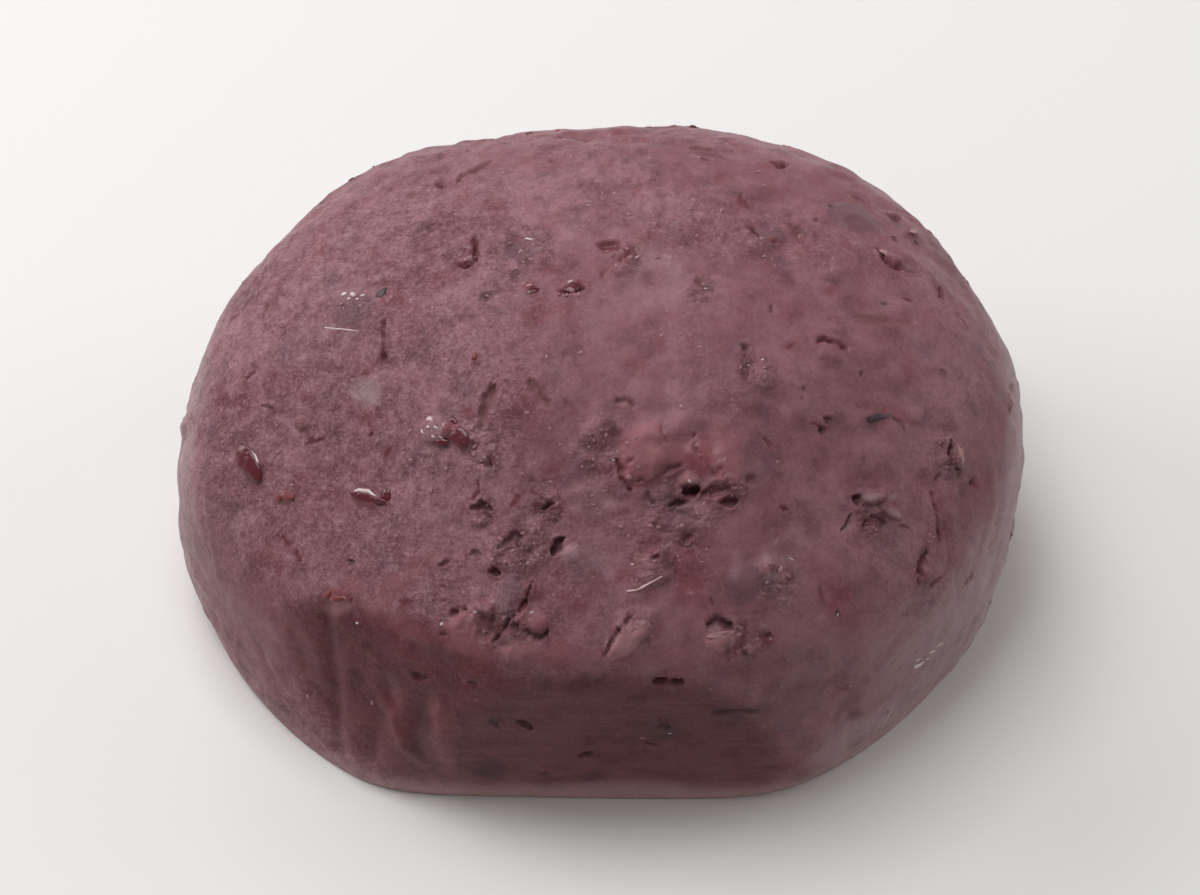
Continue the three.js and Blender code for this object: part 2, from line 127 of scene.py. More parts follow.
# Pits, slits and cracks: points, half width and depth in millimetres, tint.
CUTS = [
    # round and under the torn beans
    ([(616, 459), (622, 468), (622, 480), (631, 490)], 0.26, 0.8, "r"),
    ([(633, 459), (627, 465)], 0.12, 0.25, "r"),
    ([(639, 481), (655, 477), (667, 470), (681, 466)], 0.3, 0.4, "r"),
    ([(694, 435), (695, 448), (702, 459)], 0.13, 0.35, "r"),
    ([(707, 467), (716, 477), (720, 468)], 0.2, 0.3, "r"),
    ([(683, 493), (690, 490), (696, 488)], 0.55, 2.1, "d"),
    ([(669, 505), (680, 503), (694, 503)], 0.28, 0.6, "d"),
    ([(706, 492), (717, 490), (730, 487)], 0.45, 0.6, "r"),
    ([(722, 503), (730, 502), (737, 502)], 0.34, 0.9, "d"),
    ([(744, 482), (754, 476)], 0.22, 0.35, "d"),
    ([(741, 492), (748, 493)], 0.22, 0.5, "d"),
    ([(647, 489), (651, 496), (652, 503)], 0.26, 0.45, "d"),
    ([(686, 540), (691, 534)], 0.26, 0.4, "r"),
    ([(648, 557), (658, 557)], 0.3, 0.4, "r"),
    ([(661, 421), (662, 436), (667, 443)], 0.12, 0.25, "r"),
    ([(765, 437), (771, 446)], 0.16, 0.3, "r"),
    ([(782, 508), (787, 512)], 0.2, 0.35, "r"),
    # crumbled patch left of the middle
    ([(553, 552), (557, 542), (564, 538)], 0.48, 1.2, "d"),
    ([(543, 508), (549, 505), (555, 503)], 0.32, 0.7, "b"),
    ([(471, 508), (480, 504), (491, 508)], 0.3, 0.6, "b"),
    ([(498, 548), (508, 540), (516, 534), (524, 540)], 0.24, 0.5, "d"),
    ([(512, 532), (520, 545), (530, 549)], 0.2, 0.45, "d"),
    ([(471, 441), (474, 446)], 0.3, 0.5, "d"),
    ([(490, 455), (491, 466), (484, 470)], 0.16, 0.35, "d"),
    ([(478, 480), (478, 492), (470, 500)], 0.12, 0.25, "r"),
    ([(533, 492), (541, 498), (548, 503)], 0.12, 0.25, ""),
    ([(439, 566), (450, 562), (461, 563)], 0.2, 0.4, "d"),
    ([(464, 556), (473, 552), (483, 554)], 0.16, 0.35, "d"),
    # hole above the front rim
    ([(483, 620), (492, 630), (500, 634)], 1.15, 0.8, "b"),
    ([(496, 639), (503, 630), (508, 622)], 0.4, 1.0, "d"),
    ([(509, 619), (524, 629), (538, 639), (545, 636), (548, 629)], 0.2, 0.8, "b"),
    ([(532, 580), (527, 598), (521, 610), (514, 616)], 0.16, 0.7, "r"),
    ([(453, 613), (461, 610), (468, 609)], 0.28, 0.7, "r"),
    ([(441, 632), (451, 632)], 0.14, 0.5, "r"),
    ([(491, 571), (499, 574), (502, 570)], 0.3, 0.8, "r"),
    ([(708, 624), (717, 620), (729, 624)], 0.48, 1.3, "d"),
    ([(627, 621), (632, 616), (637, 612)], 0.35, 0.6, "r"),
    ([(604, 655), (612, 642), (621, 627)], 0.17, 0.7, "r"),
    ([(764, 641), (771, 635)], 0.3, 0.6, "d"),
    ([(706, 580), (709, 593), (714, 606)], 0.12, 0.25, ""),
    # upper left
    ([(492, 154), (476, 163), (459, 175)], 0.35, 0.35, "b"),
    ([(439, 181), (446, 183)], 0.4, 0.45, "b"),
    ([(410, 190), (412, 195)], 0.3, 0.3, "b"),
    ([(475, 237), (477, 250), (475, 262)], 0.24, 0.8, "r"),
    ([(459, 265), (468, 266), (476, 262)], 0.32, 0.9, "r"),
    ([(383, 321), (384, 340), (384, 361)], 0.15, 0.6, "r"),
    ([(495, 385), (484, 402), (481, 430)], 0.36, 0.45, "b"),
    ([(529, 380), (542, 394), (554, 406)], 0.28, 0.35, "b"),
    ([(617, 400), (627, 400), (634, 406)], 0.17, 0.4, "b"),
    ([(374, 430), (371, 437)], 0.2, 0.5, "r"),
    ([(297, 550), (302, 561)], 0.22, 0.35, "r"),
    ([(278, 535), (285, 539), (292, 545)], 0.25, 0.2, "r"),
    ([(275, 563), (284, 571)], 0.35, 0.15, "r"),
    ([(350, 560), (356, 562)], 0.16, 0.3, "d"),
    ([(262, 405), (273, 409)], 0.12, 0.3, "d"),
    # top middle
    ([(596, 245), (607, 248), (620, 245)], 0.42, 0.5, "r"),
    ([(622, 263), (634, 254), (640, 265)], 0.4, 0.35, "r"),
    ([(523, 294), (537, 290)], 0.3, 0.5, "r"),
    ([(562, 293), (572, 292), (582, 289)], 0.42, 0.8, "r"),
    ([(484, 299), (489, 298)], 0.35, 0.4, "d"),
    ([(696, 158), (703, 161), (711, 162)], 0.28, 0.6, "r"),
    ([(686, 148), (700, 149), (711, 151)], 0.28, 0.25, "b"),
    ([(771, 164), (779, 166), (787, 165)], 0.36, 1.0, "r"),
    ([(697, 280), (704, 287)], 0.35, 0.35, "b"),
    ([(741, 346), (747, 351)], 0.42, 0.9, "d"),
    ([(745, 356), (746, 373), (748, 388)], 0.26, 0.4, "b"),
    ([(770, 305), (771, 314)], 0.12, 0.5, "d"),
    ([(549, 156), (556, 160)], 0.4, 0.25, "b"),
    ([(560, 133), (597, 136), (606, 137)], 0.25, 0.25, "b"),
    # upper right
    ([(742, 193), (750, 203), (757, 205)], 0.3, 0.4, "b"),
    ([(742, 224), (757, 232), (774, 242), (783, 240)], 0.28, 0.5, "r"),
    ([(790, 221), (799, 228), (810, 235)], 0.24, 0.3, "b"),
    ([(814, 217), (819, 221)], 0.22, 0.35, "d"),
    ([(831, 203), (829, 209)], 0.16, 0.3, "d"),
    ([(846, 199), (858, 200), (870, 208)], 0.13, 0.2, "b"),
    ([(887, 215), (892, 218), (899, 219)], 0.35, 0.6, "d"),
    ([(915, 241), (918, 243)], 0.28, 0.6, "d"),
    ([(892, 239), (896, 241)], 0.25, 0.4, "d"),
    ([(873, 246), (878, 249), (884, 258)], 0.3, 1.0, "r"),
    ([(883, 256), (890, 264), (899, 269)], 0.36, 1.2, "r"),
    ([(897, 268), (906, 272), (917, 273)], 0.14, 0.6, "r"),
    ([(940, 289), (942, 300)], 0.18, 0.6, "d"),
    ([(955, 315), (961, 323), (967, 332)], 0.2, 0.45, "r"),
    ([(880, 303), (889, 303)], 0.16, 0.4, "d"),
    ([(902, 299), (911, 303)], 0.14, 0.35, "r"),
    ([(853, 315), (880, 320), (906, 322)], 0.4, 0.22, "b"),
    ([(816, 344), (825, 340), (837, 343), (845, 350), (850, 358)], 0.26, 0.9, "r"),
    ([(862, 368), (862, 375)], 0.12, 0.3, "d"),
    ([(938, 372), (942, 376)], 0.2, 0.4, "d"),
    ([(805, 387), (801, 400)], 0.14, 0.35, "b"),
    # right
    ([(822, 428), (827, 432)], 0.3, 0.7, "d"),
    ([(828, 416), (832, 421)], 0.2, 0.4, "d"),
    ([(892, 417), (900, 425), (905, 432)], 0.1, 0.3, "d"),
    ([(948, 441), (948, 453), (951, 463)], 0.2, 0.8, "r"),
    ([(951, 463), (957, 477)], 0.1, 0.5, "r"),
    ([(944, 467), (934, 480), (931, 495), (935, 508), (936, 521), (940, 539)], 0.15, 0.4, "r"),
    ([(970, 484), (976, 477)], 0.22, 0.5, "d"),
    ([(858, 502), (861, 495)], 0.36, 1.1, "d"),
    ([(853, 513), (848, 525), (842, 530)], 0.16, 0.3, "d"),
    ([(866, 524), (876, 519), (885, 524)], 0.3, 0.3, "d"),
    ([(899, 525), (912, 529)], 0.16, 0.4, "d"),
    ([(926, 553), (918, 568), (917, 587)], 0.26, 0.7, "r"),
    ([(930, 585), (942, 578)], 0.17, 0.35, "r"),
    ([(827, 618), (837, 612)], 0.17, 0.5, "d"),
    ([(787, 508), (790, 513)], 0.12, 0.3, "d"),
    # front wall
    ([(413, 671), (420, 675), (428, 677)], 0.36, 0.6, "d"),
    ([(471, 681), (481, 685)], 0.3, 0.4, "d"),
    ([(492, 716), (498, 722), (499, 728)], 0.26, 0.5, "d"),
    ([(516, 718), (523, 721), (531, 725)], 0.28, 0.6, "d"),
    ([(656, 682), (668, 681), (682, 681)], 0.42, 1.7, "d"),
    ([(712, 712), (733, 710), (757, 712)], 0.36, 0.25, "s"),
    ([(662, 719), (669, 728)], 0.42, 0.6, "d"),
    ([(579, 755), (586, 754), (594, 751)], 0.4, 0.5, "d"),
    ([(538, 772), (548, 771)], 0.26, 0.4, "d"),
    ([(646, 743), (662, 746)], 0.18, 0.3, "d"),
    ([(596, 680), (604, 680)], 0.25, 0.25, "d"),
    ([(349, 681), (357, 685)], 0.14, 0.3, "d"),
    ([(282, 700), (288, 705)], 0.16, 0.35, "d"),
]

# Soft creases of the walls: points, half width and depth.
CREASES = [
    ([(424, 700), (415, 735), (418, 780)], 0.9, 0.4),
    ([(388, 690), (378, 730), (371, 762)], 0.8, 0.25),
    ([(328, 606), (330, 660), (334, 720), (338, 757)], 0.6, 0.25),
    ([(842, 680), (848, 715), (856, 745)], 1.1, 0.35),
    ([(257, 650), (274, 690), (288, 720)], 0.5, 0.12),
    ([(1008, 420), (1000, 470), (1001, 520)], 0.8, 0.2),
    ([(575, 133), (584, 135)], 0.7, 0.35),
]

# Skins, beans and lumps that stand proud: middle, half length and half width, height, turn from the view's
# horizontal in degrees, tint, and the power of the edge. 2 is a soft hump, and more is a flat top with a
# sharp rim.
LUMPS = [
    ((676, 452), 4.4, 2.0, 0.3, 0, "", 2),  # torn bean, whole
    ((643, 455), 1.9, 2.2, 0.5, 10, "k", 2),  # left half
    ((655, 457), 0.5, 1.0, 0.2, -12, "p", 2),  # the ridge on it
    ((701, 460), 1.5, 1.6, 0.2, 10, "", 2),  # right half
    ((727, 460), 1.1, 2.3, 0.45, 3, "k", 2),
    ((688, 480), 0.7, 0.5, 0.35, -10, "p", 2),  # the nose between them
    ((625, 131), 2.2, 1.0, 0.3, 4, "", 2),  # on the top outline
    ((668, 430), 2.2, 1.0, 0.3, 20, "", 2),
    ((437, 430), 1.25, 1.05, 0.45, 10, "", 3),  # wet beans on the left
    ((458, 436), 1.15, 0.85, 0.3, -40, "r", 3),
    ((250, 463), 1.5, 0.85, 0.35, -52, "r", 3),
    ((368, 500), 1.5, 0.55, 0.3, -12, "r", 2),
    ((348, 310), 1.5, 1.3, 0.28, -10, "g", 2),
    ((300, 423), 0.75, 0.55, 0.35, -10, "b", 3),
    ((530, 291), 0.6, 0.4, 0.25, 10, "r", 2),
    ((571, 287), 0.7, 0.45, 0.3, 20, "r", 2),
    ((488, 297), 0.5, 0.45, 0.25, 0, "g", 2),
    ((495, 560), 1.3, 1.0, 0.25, 30, "", 2),
    ((508, 595), 1.0, 1.6, 0.35, -12, "g", 2),  # smooth bean above the hole
    ((465, 628), 1.4, 1.3, 0.25, 0, "k", 2),
    ((517, 648), 1.5, 0.6, 0.2, 0, "p", 2),  # the hole's floor
    ((534, 621), 1.3, 0.7, 0.3, -18, "k", 3),  # the flake over it
    ((570, 553), 0.7, 0.7, 0.25, 0, "f", 2),
    ((626, 641), 1.9, 0.8, 0.4, 42, "p", 4),  # pale flap on the rim
    ((638, 636), 0.55, 0.45, 0.1, 40, "p", 2),
    ((720, 641), 1.0, 0.6, 0.25, 4, "p", 3),  # flap in front of the pit
    ((745, 647), 0.7, 0.35, 0.2, -20, "p", 3),
    ((770, 642), 0.9, 0.35, 0.25, -25, "r", 3),
    ((690, 425), 1.6, 1.2, 0.2, 0, "", 2),
    ((853, 218), 2.4, 1.6, 0.25, -15, "g", 3),  # bean outlines at the upper right
    ((765, 229), 1.8, 0.8, 0.22, -22, "g", 3),
    ((765, 190), 1.7, 0.9, 0.2, -15, "", 2),
    ((905, 255), 1.9, 0.7, 0.3, -35, "", 2),
    ((912, 234), 0.55, 0.3, 0.3, -10, "p", 3),
    ((832, 356), 1.4, 0.9, 0.3, -15, "", 2),
    ((800, 405), 1.6, 1.1, 0.2, 80, "", 2),
    ((1006, 404), 1.2, 0.6, 0.3, 75, "r", 3),  # on the right outline
    ((968, 462), 1.1, 1.3, 0.2, 80, "", 2),
    ((948, 500), 1.0, 2.0, 0.2, 5, "", 3),
    ((874, 497), 1.1, 0.4, 0.3, 10, "", 3),
    ((895, 514), 0.8, 0.35, 0.22, -20, "", 3),
    ((929, 575), 1.0, 0.6, 0.15, 60, "b", 3),
    ((769, 566), 1.1, 0.55, 0.22, 80, "", 2),
    ((880, 462), 1.9, 1.6, 0.15, 0, "", 2),
    ((338, 596), 1.1, 0.6, 0.25, 15, "r", 3),  # corner of the front wall
    ((287, 497), 0.7, 0.3, 0.2, 0, "r", 3),
    ((474, 360), 0.5, 0.2, 0.15, 75, "r", 3),
    ((742, 585), 1.6, 1.1, 0.2, 80, "g", 2),
    ((445, 740), 0.9, 4.5, 0.3, 0, "", 2),
    ((396, 735), 0.7, 4.5, 0.3, 8, "", 2),
]

# Blotches of colour that lie flat: middle, half length, half width, turn, tint, strength.
BLOTCHES = [
    # The "f" blotches lay painted highlight.
    ((660, 727), 2.2, 1.9, 8, "s", 0.55),  # dark beans seen through the front wall
    ((732, 712), 2.3, 1.2, 0, "s", 0.6),
    ((492, 768), 1.7, 1.4, -8, "s", 0.8),
    ((588, 779), 1.3, 0.9, 0, "s", 0.6),
    ((668, 727), 0.6, 0.9, 0, "d", 0.8),
    ((502, 752), 1.3, 0.5, 0, "b", 0.5),
    ((392, 684), 1.3, 0.6, 0, "s", 0.5),
    ((408, 667), 1.1, 0.7, 10, "d", 0.5),
    ((440, 656), 1.4, 0.7, -20, "d", 0.4),
    ((494, 720), 0.8, 0.8, 0, "s", 0.4),
    ((858, 720), 0.7, 0.8, 0, "s", 0.5),
    ((536, 728), 1.9, 0.9, 0, "b", 0.4),
    ((417, 745), 5.0, 0.6, 92, "d", 0.7),  # painted shade in the wall's fold, and painted light on the paste each side of it
    ((446, 740), 4.6, 0.9, 90, "k", 0.4),
    ((395, 735), 4.4, 0.7, 95, "k", 0.25),
    ((331, 680), 8.0, 0.35, 91, "d", 0.4),
    ((740, 672), 3.4, 0.9, -4, "r", 0.25),
    ((790, 700), 3.0, 3.6, 0, "d", 0.45),
    ((690, 765), 3.0, 1.0, 0, "b", 0.3),
    ((560, 656), 5.0, 0.8, -4, "k", 0.7),  # the pink front rim
    ((700, 655), 4.6, 0.6, 4, "k", 0.4),
    ((470, 642), 2.2, 0.8, -22, "k", 0.8),
    ((388, 590), 2.6, 0.9, 34, "k", 0.7),  # and its left corner, whose pink and peach are partly painted light where the rim lies in shade
    ((430, 565), 2.6, 0.9, 20, "k", 0.6),
    ((400, 625), 2.2, 0.6, -20, "k", 0.5),
    ((345, 603), 1.5, 0.8, 10, "p", 0.8),
    ((372, 600), 2.2, 0.9, -25, "p", 0.4),
    ((352, 588), 1.0, 0.6, 20, "k", 0.9),
    ((262, 590), 2.6, 2.2, 20, "r", 0.3),
    ((290, 640), 1.8, 2.8, 0, "k", 0.3),
    ((275, 555), 2.0, 0.8, -20, "k", 0.5),
    ((310, 660), 0.9, 3.0, 0, "f", 0.15),
    ((232, 520), 0.9, 3.0, 10, "s", 0.25),
    ((643, 450), 2.2, 2.0, 0, "k", 0.6),  # torn bean
    ((650, 455), 1.2, 1.3, 0, "p", 0.4),
    ((722, 450), 2.0, 1.8, 60, "k", 0.6),
    ((672, 445), 1.4, 1.0, 0, "k", 0.5),
    ((699, 460), 1.4, 1.4, 20, "r", 0.9),
    ((652, 478), 1.5, 0.5, 15, "r", 0.9),
    # painted shade beside the torn bean
    ((748, 460), 0.7, 1.5, 0, "s", 0.35),
    ((718, 491), 1.0, 0.5, 5, "r", 0.8),
    # painted shade in the hole under the torn bean
    ((690, 497), 1.3, 0.8, 0, "d", 0.6),
    ((655, 500), 1.6, 1.0, 0, "g", 0.6),
    ((675, 520), 1.6, 1.0, 0, "g", 0.4),
    # painted shade in the hole above the front rim
    ((503, 630), 1.0, 0.9, 30, "d", 0.5),
    ((640, 637), 0.4, 0.4, 0, "p", 0.7),
    ((350, 308), 1.9, 1.4, 0, "g", 0.6),
    ((514, 252), 1.6, 1.1, 0, "g", 0.6),
    ((570, 465), 1.6, 1.4, 0, "g", 0.4),
    ((755, 410), 2.0, 2.6, 0, "g", 0.3),
    ((764, 192), 1.5, 0.6, -15, "d", 0.3),
    ((752, 222), 0.9, 0.3, -30, "r", 0.7),
    ((776, 241), 0.7, 0.3, -20, "r", 0.7),
    ((367, 391), 1.1, 1.2, 0, "w", 0.8),
    # painted highlight on the glossy wet bean
    ((437, 430), 1.0, 0.9, 0, "f", 0.5),
    ((468, 412), 0.5, 0.4, 0, "r", 0.9),
    ((551, 222), 1.3, 0.7, 30, "r", 0.4),
    ((660, 262), 1.8, 1.6, 0, "w", 0.25),
    ((654, 296), 2.2, 1.6, 0, "f", 0.3),
    ((590, 500), 1.6, 1.0, 0, "f", 0.3),
    ((838, 300), 2.6, 1.6, 0, "g", 0.3),
    ((515, 540), 2.0, 1.2, 0, "d", 0.3),
    ((590, 560), 1.5, 1.1, 20, "f", 0.35),
    ((930, 577), 0.9, 0.8, 50, "b", 0.7),
    ((878, 420), 1.2, 0.5, 13, "s", 0.4),
    ((745, 585), 1.6, 1.6, 0, "g", 0.5),
    ((782, 560), 1.6, 1.6, 0, "d", 0.3),
    ((735, 565), 0.4, 1.0, 0, "f", 0.4),
    ((690, 505), 0.8, 0.3, 20, "f", 0.6),
    ((705, 517), 0.7, 0.25, 50, "f", 0.6),
    ((640, 560), 0.9, 0.5, 20, "p", 0.4),
    ((610, 565), 0.9, 0.8, 0, "f", 0.4),
    ((800, 535), 0.9, 0.9, 0, "f", 0.3),
    ((880, 527), 1.4, 0.7, -5, "d", 0.3),
    ((873, 497), 0.9, 0.25, 12, "w", 0.5),
    ((893, 496), 0.45, 0.25, 10, "w", 0.6),
    ((896, 514), 0.7, 0.25, -25, "w", 0.6),
    ((791, 558), 0.4, 0.16, -35, "w", 0.5),
    ((777, 540), 0.45, 0.15, 60, "w", 0.5),
    ((767, 560), 0.35, 0.6, 20, "w", 0.5),
    ((771, 574), 0.45, 0.35, 0, "w", 0.4),
    ((660, 200), 2.6, 1.2, 0, "f", 0.2),
    ((700, 620), 1.6, 1.0, 0, "k", 0.3),
    ((860, 600), 2.0, 2.0, 0, "b", 0.3),
    ((895, 540), 1.4, 2.4, 0, "g", 0.3),
    ((300, 350), 2.5, 1.8, 0, "f", 0.2),
    ((255, 420), 1.5, 2.0, 0, "f", 0.2),
]

# Patches where the paste has crumbled: middle and radius in millimetres.
CRUMBLED = [
    ((520, 545), 2.8),
    ((545, 505), 1.6),
    ((480, 510), 1.2),
    ((500, 620), 2.4),
    ((680, 512), 2.6),
    ((735, 490), 1.4),
    ((655, 560), 2.0),
    ((775, 575), 2.2),
    ((870, 512), 2.0),
    ((765, 235), 1.6),
    ((520, 250), 2.6),
    ((460, 255), 1.4),
    ((620, 260), 1.6),
    ((700, 290), 1.2),
    ((480, 445), 2.0),
    ((600, 445), 2.0),
    ((760, 375), 1.6),
    ((745, 640), 1.6),
    ((640, 630), 1.4),
    ((945, 460), 1.4),
    ((355, 300), 1.4),
    ((430, 185), 1.6),
]

# Edges with one side raised: points, height, how far back the raised side reaches, tint. The raised side is
# to the left of the way the points run, as the view shows it.
STEPS = [
    ([(618, 463), (623, 478), (631, 488)], 0.25, 0.9, "p"),  # torn beans' lower edges
    ([(638, 481), (656, 476), (672, 468)], 0.3, 0.9, "p"),
    ([(400, 638), (430, 646), (500, 656), (560, 663), (640, 664)], 0.2, 1.8, ""),  # front rim
    ([(690, 664), (740, 660), (790, 654), (845, 642)], 0.18, 1.6, ""),
    ([(477, 612), (464, 613), (451, 619)], 0.3, 0.7, "p"),
    ([(876, 246), (890, 260), (903, 270), (917, 273)], 0.35, 1.2, ""),
    ([(851, 362), (845, 354), (836, 347), (822, 345)], 0.3, 1.1, ""),
    ([(950, 442), (950, 452), (953, 465), (957, 478)], 0.35, 0.7, "p"),
    ([(940, 541), (938, 521), (937, 508), (934, 495)], 0.2, 1.1, ""),
    ([(917, 590), (920, 570), (928, 554)], 0.2, 0.8, "b"),
    ([(783, 246), (770, 243), (752, 234)], 0.25, 0.8, ""),
    ([(737, 632), (722, 627), (708, 628)], 0.25, 0.6, ""),
    ([(384, 363), (386, 342), (386, 322)], 0.18, 0.6, ""),
    # painted reflection: a grey band along the left outline, where the coat is seen at a glancing angle
    ([(211, 411), (209, 481), (217, 564), (224, 604)], 0.15, 1.3, "g"),
]

# Wet skins with their own gloss, laid over lumps: middle, half length, half width, turn, and the lift of the
# far edge.
WET_SKINS = [
    ((250, 463), 1.45, 0.8, -54, 0),
    ((460, 437), 1.0, 0.6, -38, 0),
    ((441, 441), 0.75, 0.3, -20, 0),
    ((454, 422), 0.5, 0.25, -50, 0),
    ((369, 498), 1.4, 0.34, -12, 0.06),
    ((387, 496), 0.45, 0.6, 0, 0),
    ((531, 292), 0.6, 0.36, 12, 0),
    ((572, 288), 0.6, 0.45, 25, 0),
    ((488, 297), 0.32, 0.28, 0, 0),
    ((475, 256), 0.34, 0.16, 80, 0),
]

# Thin peach flaps of torn skin: middle, half length, half width, turn, lift of the far edge.
FLAPS = [
    ((721, 634), 0.85, 0.28, 6, 0.25),
    ((912, 234), 0.45, 0.18, -12, 0.2),
    ((886, 254), 0.5, 0.15, -35, 0.2),
    ((953, 455), 0.55, 0.13, -75, 0.2),
    ((780, 569), 0.3, 0.16, 70, 0.15),
]

# Pale glossy beads and threads that paint highlights where wet skins catch the light: points, half width.
GLINTS = [
    ([(340, 293), (345, 291)], 0.15),
    ([(349, 291), (353, 293)], 0.17),
    ([(346, 297), (349, 297)], 0.1),
    ([(358, 293), (363, 292)], 0.12),
    ([(355, 298), (358, 298)], 0.07),
    ([(322, 326), (340, 328), (357, 330)], 0.045),
    ([(350, 494), (360, 490), (370, 492), (379, 498)], 0.15),
    ([(376, 501), (381, 503)], 0.08),
    ([(429, 420), (433, 419), (437, 421)], 0.13),
    ([(425, 430), (427, 434)], 0.1),
    ([(443, 437), (448, 439)], 0.09),
    ([(431, 427), (434, 428)], 0.08),
    ([(438, 427), (442, 429)], 0.07),
    ([(436, 436), (439, 438)], 0.07),
    ([(446, 424), (448, 426)], 0.06),
    ([(250, 450), (256, 456), (261, 463)], 0.12),
    ([(246, 454), (249, 457)], 0.05),
    ([(474, 252), (475, 257)], 0.06),
    ([(525, 239), (533, 241)], 0.08),
    ([(568, 285), (573, 283)], 0.07),
    ([(486, 296), (489, 297)], 0.07),
    ([(527, 289), (532, 288)], 0.05),
    ([(636, 258), (639, 255)], 0.06),
    ([(696, 158), (699, 160)], 0.05),
    ([(704, 290), (707, 290)], 0.05),
    ([(613, 459), (615, 461)], 0.08),
    ([(688, 480), (691, 483)], 0.08),
    ([(631, 564), (634, 564)], 0.06),
    ([(748, 364), (750, 366)], 0.05),
    ([(761, 360), (764, 360)], 0.05),
    ([(789, 557), (794, 560)], 0.04),
    ([(530, 613), (534, 611)], 0.06),
    ([(442, 624), (445, 622)], 0.08),
    ([(474, 612), (477, 612)], 0.06),
    ([(357, 622), (360, 622)], 0.08),
    ([(917, 669), (922, 668), (927, 664)], 0.17),
    ([(919, 664), (924, 661)], 0.1),
    ([(929, 662), (932, 660)], 0.08),
    ([(932, 655), (938, 652)], 0.12),
    ([(938, 649), (945, 644)], 0.1),
    ([(668, 734), (672, 733)], 0.05),
    ([(186, 454), (185, 463)], 0.07),
    ([(836, 615), (838, 612)], 0.06),
]

# Dark scraps of hull: middle, half length, half width, turn, lift of the far edge.
DARK_SCRAPS = [
    ((879, 417), 1.0, 0.24, 13, 0.05),
    ((380, 291), 0.5, 0.22, 35, 0.05),
]

# A pale bean string lying on the paste: points, half width.
STRINGS = [
    ([(627, 591), (637, 590), (650, 583), (663, 576)], 0.08),
]

# Orange-red specks of skin: middle, radius.
RED_SPECKS = [
    ((330, 594), 0.42),
    ((341, 597), 0.5),
    ((352, 598), 0.3),
    ((281, 497), 0.3),
    ((292, 497), 0.35),
    ((475, 358), 0.25),
    ((1014, 410), 0.4),
    ((783, 165), 0.25),
]

# How each kind of flake is laid: its thickness, the lift above the coat of the listed ones and of the random
# ones, and what the random ones are: how many, their least and greatest half length, the least and greatest
# share of it that they are wide, and the lift of the far edge.
WET_SKIN_KIND = (0.16, -0.07, -0.02, (12, 0.4, 1.4, (0.3, 0.6), 0.1))
FLAP_KIND = (0.09, -0.02, -0.02, (7, 0.3, 0.9, (0.3, 0.6), 0.2))
SCRAP_KIND = (0.07, 0.03, 0.03, (6, 0.3, 1.0, (0.25, 0.5), 0.05))

# How many random marks there are: those that the view doesn't reach, and small spots on the whole dome.
HIDDEN_CUTS = 60
HIDDEN_LUMPS = 34
HIDDEN_SPECKS = 24
SMALL_SPOTS = 200

# Painted sheen on the right end: a pale grey band that stands for the bright floor's reflection where the
# coat is seen at a glancing angle.
# From and to which share of +X the coat faces, the height where it ends, and the height over which it fades.
SHEEN_BANDS = [
    (0.5, 0.85, 17, 8),
    (0.86, 0.95, 21, 5),
    (0.3, 0.65, 8, 5),
]

# ---- Floor, lights and camera -----------------------------------------------------------------------------

# Name, place and side in metres, and the setting that holds the power.
LIGHTS = [
    ("key_light", (-0.1, 0.1, 0.46), 0.3, "key"),
    ("left_light", (-0.45, 0.14, 0.24), 0.26, "left"),
    ("right_light", (0.45, 0.14, 0.22), 0.26, "right"),
    ("back_light", (-0.2, 0.48, 0.26), 0.3, "back"),
]
FLOOR_HALF = 1500  # half of the floor's side, in millimetres
FLOOR_DROP = 0.02  # how far it lies below the base, in millimetres
SENSOR = 36  # width of the camera's sensor, in millimetres

# ---- Settings that a user would change --------------------------------------------------------------------


def length(name, description, default):
    """A length in metres, given in millimetres."""
    default = default * MM
    return FloatProperty(name=name, description=description, default=default, unit="LENGTH", precision=5)


def power(name, description, default):
    """The power of a light, in watts."""
    return FloatProperty(name=name, description=description, default=default, unit="POWER")


def angle(name, description, default):
    """An angle, given in degrees."""
    default = np.radians(default)
    return FloatProperty(name=name, description=description, default=default, subtype="ANGLE")


def colour(name, description, default):
    """A colour, given as red, green and blue of a screen from 0 to 255."""
    default = tuple(screen_to_linear(np.array(default) / 255))
    kind = {"subtype": "COLOR", "min": 0, "max": 1}
    return FloatVectorProperty(name=name, description=description, default=default, **kind)


def share(name, description, default, highest=1):
    """A plain number from 0."""
    return FloatProperty(name=name, description=description, default=default, min=0, max=highest)


def screen_to_linear(value):
    """The usual screen curve undone: a straight foot, then a power of 2.4."""
    return np.where(value <= 0.04045, value / 12.92, ((value + 0.055) / 1.055) ** 2.4)


class OhagiSizes(bpy.types.PropertyGroup):
    """Sizes of the loaf and of the detail in its coat."""

    height: length("Height", "Base to the top of the dome", 28)
    half_length: length("Half length", "Half of the plan oval along X", 30.3)
    front_width: length("Front half width", "Half of the plan oval along Y, in front", 23.9)
    back_width: length("Back half width", "Half of the plan oval along Y, at the back", 24.8)
    plan_power: share("Plan power", "Squareness of the plan: 2 is an ellipse", 2.3, 8)
    dome_power: share("Dome power", "Squareness of the dome's section", 2.53, 8)
    swell: length("Swell", "Height of the long soft waves", 0.07)
    kneading: length("Kneading", "Height of the bean-sized waves on the dome", 0.2)
    roughness: length("Roughness", "Height of the crumbs where the dome has crumbled", 0.4)
    crumb: length("Crumb", "Middle size of a loose crumb", 0.15)
    crumbs: IntProperty(name="Crumbs", description="How many loose crumbs lie on it", default=600, min=0)
    seed: IntProperty(name="Seed", description="Start of every random draw", default=7)


